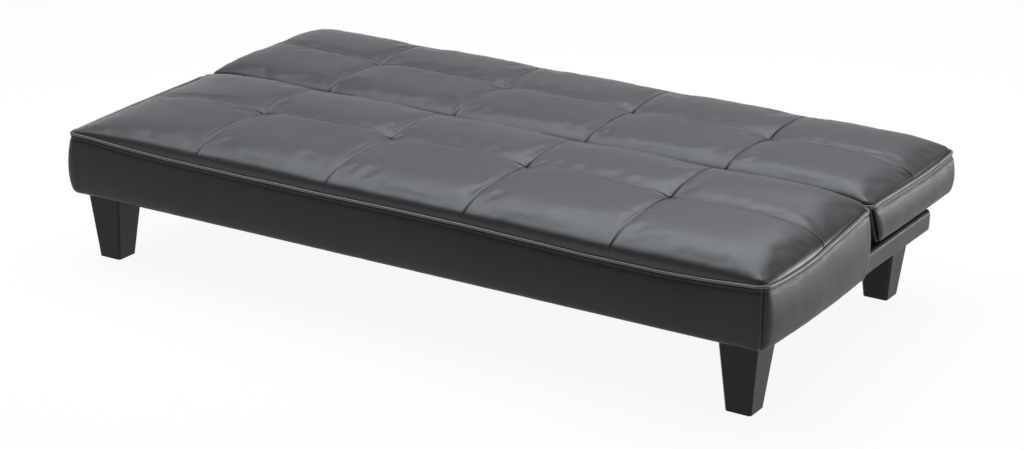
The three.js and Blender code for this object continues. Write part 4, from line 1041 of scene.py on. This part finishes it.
def sill_strip(name, side, seed):
    """One strip: a closed section of insets and heights, carried along its side."""
    arc = 6
    if side == "right":
        stops = [("right", t) for t in np.linspace(0, 1, 90)]
        stops += [("arc", math.pi / 4 * k / arc) for k in range(1, arc + 1)]
    elif side == "rear":
        stops = [("arc", math.pi / 4 + math.pi / 4 * k / arc) for k in range(arc)]
        stops += [("rear", t) for t in np.linspace(0, 1, 220)]
        stops += [("arc", math.pi / 2 + math.pi / 4 * k / arc) for k in range(1, arc + 1)]
    else:
        stops = [("arc", math.pi * 0.75 + math.pi / 4 * k / arc) for k in range(arc)]
        stops += [("left", t) for t in np.linspace(0, 1, 90)]
    section = [(0.0064, 0.1556), (0.0026, 0.1572), (0.0006, 0.1605)]
    section += [(0.0, 0.165 + 0.028 * k / 6) for k in range(7)]
    section += [
        (0.01 - 0.01 * math.cos(a), 0.193 + 0.01 * math.sin(a)) for a in np.linspace(0.25, math.pi / 2, 6)
    ]
    section += [(0.018, 0.2028), (0.024, 0.202), (0.03, 0.2012), (0.0324, 0.2002)]
    section += [(0.0326, 0.1992), (0.0295, 0.1986), (0.0102, 0.1984), (0.0094, 0.1975), (0.0094, 0.1556)]
    points, pull_and_highlight_shares = [], []
    spots = np.array([sill_point(0.0, stop) for stop in stops])
    round_way = spots.sum(1)[:, None] + np.zeros(len(section))
    up_way = np.array(section)[None, :, 1] + 0 * spots[:, :1]
    softs = sill["softness"] * smooth_noise(round_way, up_way, 0.09, 0.04, seed)
    for row, stop in enumerate(stops):
        for place, (inset, z) in enumerate(section):
            soft = float(softs[row, place]) if 0 < place < 20 else 0.0
            points.append((*sill_point(inset + soft, stop), z - 0.5 * abs(soft) * (z > 0.197)))
            # The rounded top edge is painted paler: a painted highlight, partly stretched vinyl.
            pull_and_highlight_shares.append(0.8 if 10 <= place <= 16 else 0.0)
    across = len(section)
    faces = []
    for r in range(len(stops) - 1):
        for c in range(across):
            a, b = r * across + c, r * across + (c + 1) % across
            faces.append((a, a + across, b + across, b))
    faces.append(tuple(range(across)))
    faces.append(tuple(range((len(stops) - 1) * across, len(stops) * across))[::-1])
    return soft_mesh(name, points, faces, pull_and_highlight_shares)


for number, side in enumerate(("right", "rear", "left")):
    strip = sill_strip(f"sill_{side}_strip", side, 50 + number)
    strip.data.materials.append(shaded_side_vinyl)
    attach(strip, "base")
    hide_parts(f"sill_{side}_cover")

# Backrest frame
# A light frame of planed softwood rails with a brown hardboard panel on top that carries the foam,
# and a thin black cloth stapled underneath.
finish_nodes(pine_long, "backrest_front_rail", "backrest_rear_rail")
finish_nodes(pine_deep, "backrest_centre_rail", "backrest_left_rail", "backrest_right_rail")
hardboard, tree, shader = new_material("brown_hardboard", 0.6)
fibre_way = stretched(tree)
use_tone(tree, shader, fibre_way, (0.13, 0.065, 0.035), (0.3, 0.17, 0.09), 140.0, (0.45, 0.8))
use_bump(tree, shader, noise(tree, fibre_way, 500.0, 4.0), 0.3, 0.0004)
finish_nodes(hardboard, "backrest_board")

# Backrest under cover
# The same black non-woven cloth, stapled under the backrest's rails and tucked in behind the front
# cover. Cloth and front cover are slit so that the fixed hinge plates can pass.
hinge_slit = (0.7895, 0.7985, 0.017, 0.1145, 0.2, 0.2955)
staples_start = 0.139


def cut_slits(thing):
    """Cuts the two slits out of a closed piece."""
    x0, x1, y0, y1, z0, z1 = hinge_slit
    points, faces = [], []
    for first, (a, b) in ((0, (x0, x1)), (8, (-x1, -x0))):
        points += [(x, y, z) for z in (z0, z1) for x, y in ((a, y0), (b, y0), (b, y1), (a, y1))]
        faces += [(first + 3, first + 2, first + 1, first), (first + 4, first + 5, first + 6, first + 7)]
        faces += [(first + k, first + (k + 1) % 4, first + (k + 1) % 4 + 4, first + k + 4) for k in range(4)]
    knife = plain_mesh("slit_knife", points, faces)
    change = thing.modifiers.new("slits", "BOOLEAN")
    change.operation, change.solver, change.object = "DIFFERENCE", "EXACT", knife
    whole = thing.data
    thing.data = evaluated_mesh(thing)
    thing.modifiers.remove(change)
    bpy.data.objects.remove(knife, do_unlink=True)
    bpy.data.meshes.remove(whole)
    thing.data.name = thing.name


low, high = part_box("backrest_under_cover")
under = cloth_sheet("under_cloth", low, high, 9)
cut_slits(under)
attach(under, "backrest")
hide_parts("backrest_under_cover")
staple_row("under_cloth_staples", Vector((low.x, staples_start, low.z)), high, "backrest")

# Backrest cushion
# As the seat cushion, on the hardboard, with a foam lip in front of the frame that leans back under
# the front edge. The foam is cut away round the two hinges.
back = {
    "y0": 0.026,
    "y1": 0.461,
    "edge": (0.305, 0.311),
    "row": 0.2431,
    "skirt": (0.0087, 0.0145),
    "sag_front": ((-0.84, -0.7, -0.5, -0.3, 0.0, 0.84), (0.009, 0.006, 0.004, 0.002, 0.0, 0.003)),
    "sag_right": (
        (0.026, 0.068, 0.126, 0.216, 0.287, 0.37, 0.461),
        (0.003, 0.002, 0.003, 0.006, 0.008, 0.008, 0.004),
    ),
    "sag_left": ((0.026, 0.2, 0.35, 0.461), (0.006, 0.005, 0.007, 0.004)),
    "sag_rear": ((-0.84, -0.5, 0.5, 0.84), (0.004, 0.006, 0.006, 0.004)),
    "rise": (0.008, 0.004, 0.007, 0.01),
    "wall": (0.4, 0.3, 1.0, 0.8),
    "crown": (0.026, 0.038, 0.022, 0.036),
    "height": 0.0295,
    "meets": (0.0, 0.0, 0.004, 0.0),
    "tight": ((-1, -1, 0.006), (1, -1, 0.006), (-1, 1, 0.006), (1, 1, 0.004)),
    "longer_left": 0.002,
    "bow_right": 0.002,
    "left_seam": 1.0,
    "seed": 17,
}
lean_reach, lean_foot = 0.048, 0.212
hinge_pocket = (0.7767, 0.8159, 0.047, 0.147)
board_level, pocket_depth = 0.2938, 0.0222
lip_blocks = ((-0.785, 0.785, 0.0), (0.807, 0.824, 0.018), (-0.824, -0.807, 0.018))
lip_top, lip_foot, lip_rear, lip_inset = 0.2935, 0.2175, 0.138, 0.0092


def back_lean(z):
    top = back["edge"][0]
    return lean_reach * min(max(top - z, 0.0), top - lean_foot) / (top - lean_foot)


def back_bottom(x, y):
    """Flat on the board, with a hollow over each hinge."""
    inner, outer, front, rear = hinge_pocket
    gap = np.maximum(np.maximum(inner - np.abs(x), np.abs(x) - outer), np.maximum(front - y, y - rear))
    return board_level + pocket_depth * np.clip(1 - gap / 0.003, 0, 1)


back_cushion, back_top = cushion_body("backrest_cushion", back, back_bottom)


def foam_lip():
    """The closed foam blocks of the lip: one between the hinges and one outside each, set back a little."""
    points, faces = [], []
    levels = np.linspace(lip_top, lip_foot, 8)
    for x0, x1, ease in lip_blocks:
        first = len(points)
        outline = [(back["y0"] + lip_inset + back_lean(z) + ease, z) for z in levels]
        outline += [(lip_rear, lip_foot), (lip_rear, lip_top)]
        points += [(x, y, z) for x in (x0, x1) for y, z in outline]
        n = len(outline)
        for k in range(n):
            faces.append((first + k, first + (k + 1) % n, first + n + (k + 1) % n, first + n + k))
        faces.append(tuple(range(first + n - 1, first - 1, -1)))
        faces.append(tuple(range(first + n, first + 2 * n)))
    return points, faces


lip = plain_mesh("backrest_lip", *foam_lip())
lip.data.materials.append(top_vinyl)
back_cushion.data.materials.append(top_vinyl)
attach(lip, "backrest")
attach(back_cushion, "backrest")
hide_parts("backrest_pad")

# Backrest channel stitches
# The same thread and stitch length as on the seat.
stitch_row("backrest_stitches", back_top, back, "backrest")

# Backrest side covers
# As on the seat. The front panel leans back below the piping and is slit for the fixed hinge plates.
for number, side in enumerate(("front", "right", "rear", "left")):
    front = side == "front"
    padding = (0.003, thin_lining) if front else (cover_bulge, thick_lining)
    count = 300 if side in ("front", "rear") else 100
    shape = (lean_foot, *padding, count, 60 + number * 5, back_lean, 0.003 if front else 0.008)
    panel = side_cover(f"backrest_{side}_panel", back, side, *shape)
    if front:
        cut_slits(panel)
    panel.data.materials.append(shaded_side_vinyl)
    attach(panel, "backrest")
    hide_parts(f"backrest_{side}_cover")

# Backrest piping
# As on the seat.
back_piping = piping_ring("backrest_piping_cord", back, 37)
back_piping.data.materials.append(lit_piping_vinyl)
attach(back_piping, "backrest")
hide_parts("backrest_piping")

# Floor, lights and camera
# A plain pale floor under soft studio light: a pale backdrop's glow from behind, one large panel
# overhead and a low one at the right end.
floor_reach, floor_tone, floor_white_share = 40, (0.86, 0.86, 0.86, 1.0), 0.92
rear_way = (-0.405, 0.76, 0.507)


def shown_rays(tree):
    """1 for the rays that see the background: straight from the camera, reflected or through glass."""
    path = add_node(tree, "ShaderNodeLightPath").outputs
    seen = maths(tree, "MAXIMUM", path["Is Camera Ray"], path["Is Glossy Ray"])
    return maths(tree, "MAXIMUM", seen, path["Is Transmission Ray"])


def smooth_ramp(tree, value, start, end, low, high):
    inputs = {"Value": value, "From Min": start, "From Max": end, "To Min": low, "To Max": high}
    return add_node(tree, "ShaderNodeMapRange", inputs, interpolation_type="SMOOTHSTEP").outputs["Result"]


floor_corners = [(a * floor_reach, b * floor_reach, 0) for a, b in ((-1, -1), (1, -1), (1, 1), (-1, 1))]
floor = plain_mesh("floor", floor_corners, [(0, 1, 2, 3)])
pale = bpy.data.materials.new("pale_floor")
pale.use_nodes = True
tree = pale.node_tree
tree.nodes.clear()
matt = add_node(tree, "ShaderNodeBsdfDiffuse", {"Color": floor_tone})
glow = add_node(tree, "ShaderNodeEmission", {"Color": (1.0, 1.0, 1.0, 1.0), "Strength": 1.0})
share = maths(tree, "MULTIPLY", shown_rays(tree), floor_white_share)
both = add_node(tree, "ShaderNodeMixShader", {0: share, 1: matt.outputs["BSDF"], 2: glow.outputs["Emission"]})
add_node(tree, "ShaderNodeOutputMaterial", {"Surface": both.outputs["Shader"]})
floor.data.materials.append(pale)

world = bpy.data.worlds.new("studio")
bpy.context.scene.world = world
world.use_nodes = True
tree = world.node_tree
tree.nodes.clear()
sky = add_node(tree, "ShaderNodeTexCoord").outputs["Generated"]
toward_rear = add_node(tree, "ShaderNodeVectorMath", {0: sky, 1: rear_way}, operation="DOT_PRODUCT")
rear_glow = smooth_ramp(tree, toward_rear.outputs["Value"], 0.5, 0.97, 0.2, 0.82)
level = add_node(tree, "ShaderNodeSeparateXYZ", {0: sky}).outputs["Z"]
low_wall = smooth_ramp(tree, level, 0.2, 0.1, 0.0, 1.0)
strength = maths(tree, "MAXIMUM", rear_glow, low_wall)
backdrop = add_node(tree, "ShaderNodeBackground", {"Color": (0.96, 0.95, 1.0, 1.0), "Strength": strength})
add_node(tree, "ShaderNodeOutputWorld", {"Surface": backdrop.outputs["Background"]})


def soft_panel(name, place, target, size, energy, colour):
    lamp = bpy.data.lights.new(name, "AREA")
    lamp.shape = "RECTANGLE"
    lamp.size, lamp.size_y = size
    lamp.energy = energy
    lamp.color = colour
    thing = bpy.data.objects.new(name, lamp)
    bpy.context.scene.collection.objects.link(thing)
    thing.location = place
    thing.rotation_euler = (Vector(target) - Vector(place)).to_track_quat("-Z", "Y").to_euler()


soft_panel("overhead_panel", (-0.5, 0.35, 2.6), (-0.1, 0.0, 0.2), (4.6, 2.3), 114.0, (0.92, 0.98, 1.0))
soft_panel("right_panel", (3.4, 2.0, 0.24), (0.84, -0.1, 0.22), (3.2, 0.42), 80.0, (1.0, 1.0, 0.95))

camera_data = bpy.data.cameras.new("camera")
camera = bpy.data.objects.new("camera", camera_data)
bpy.context.scene.collection.objects.link(camera)
camera_data.lens = 89.66
camera_data.sensor_width = 36.0
camera_data.clip_end = 200.0
place = Matrix(
    (
        (0.85349, -0.18666, 0.48652, 2.7221),
        (0.52091, 0.28014, -0.80633, -4.4967),
        (0.01421, 0.94164, 0.33633, 1.9868),
        (0.0, 0.0, 0.0, 1.0),
    )
)
camera.matrix_world = place
bpy.context.scene.camera = camera
bpy.context.scene.view_settings.view_transform = "Standard"
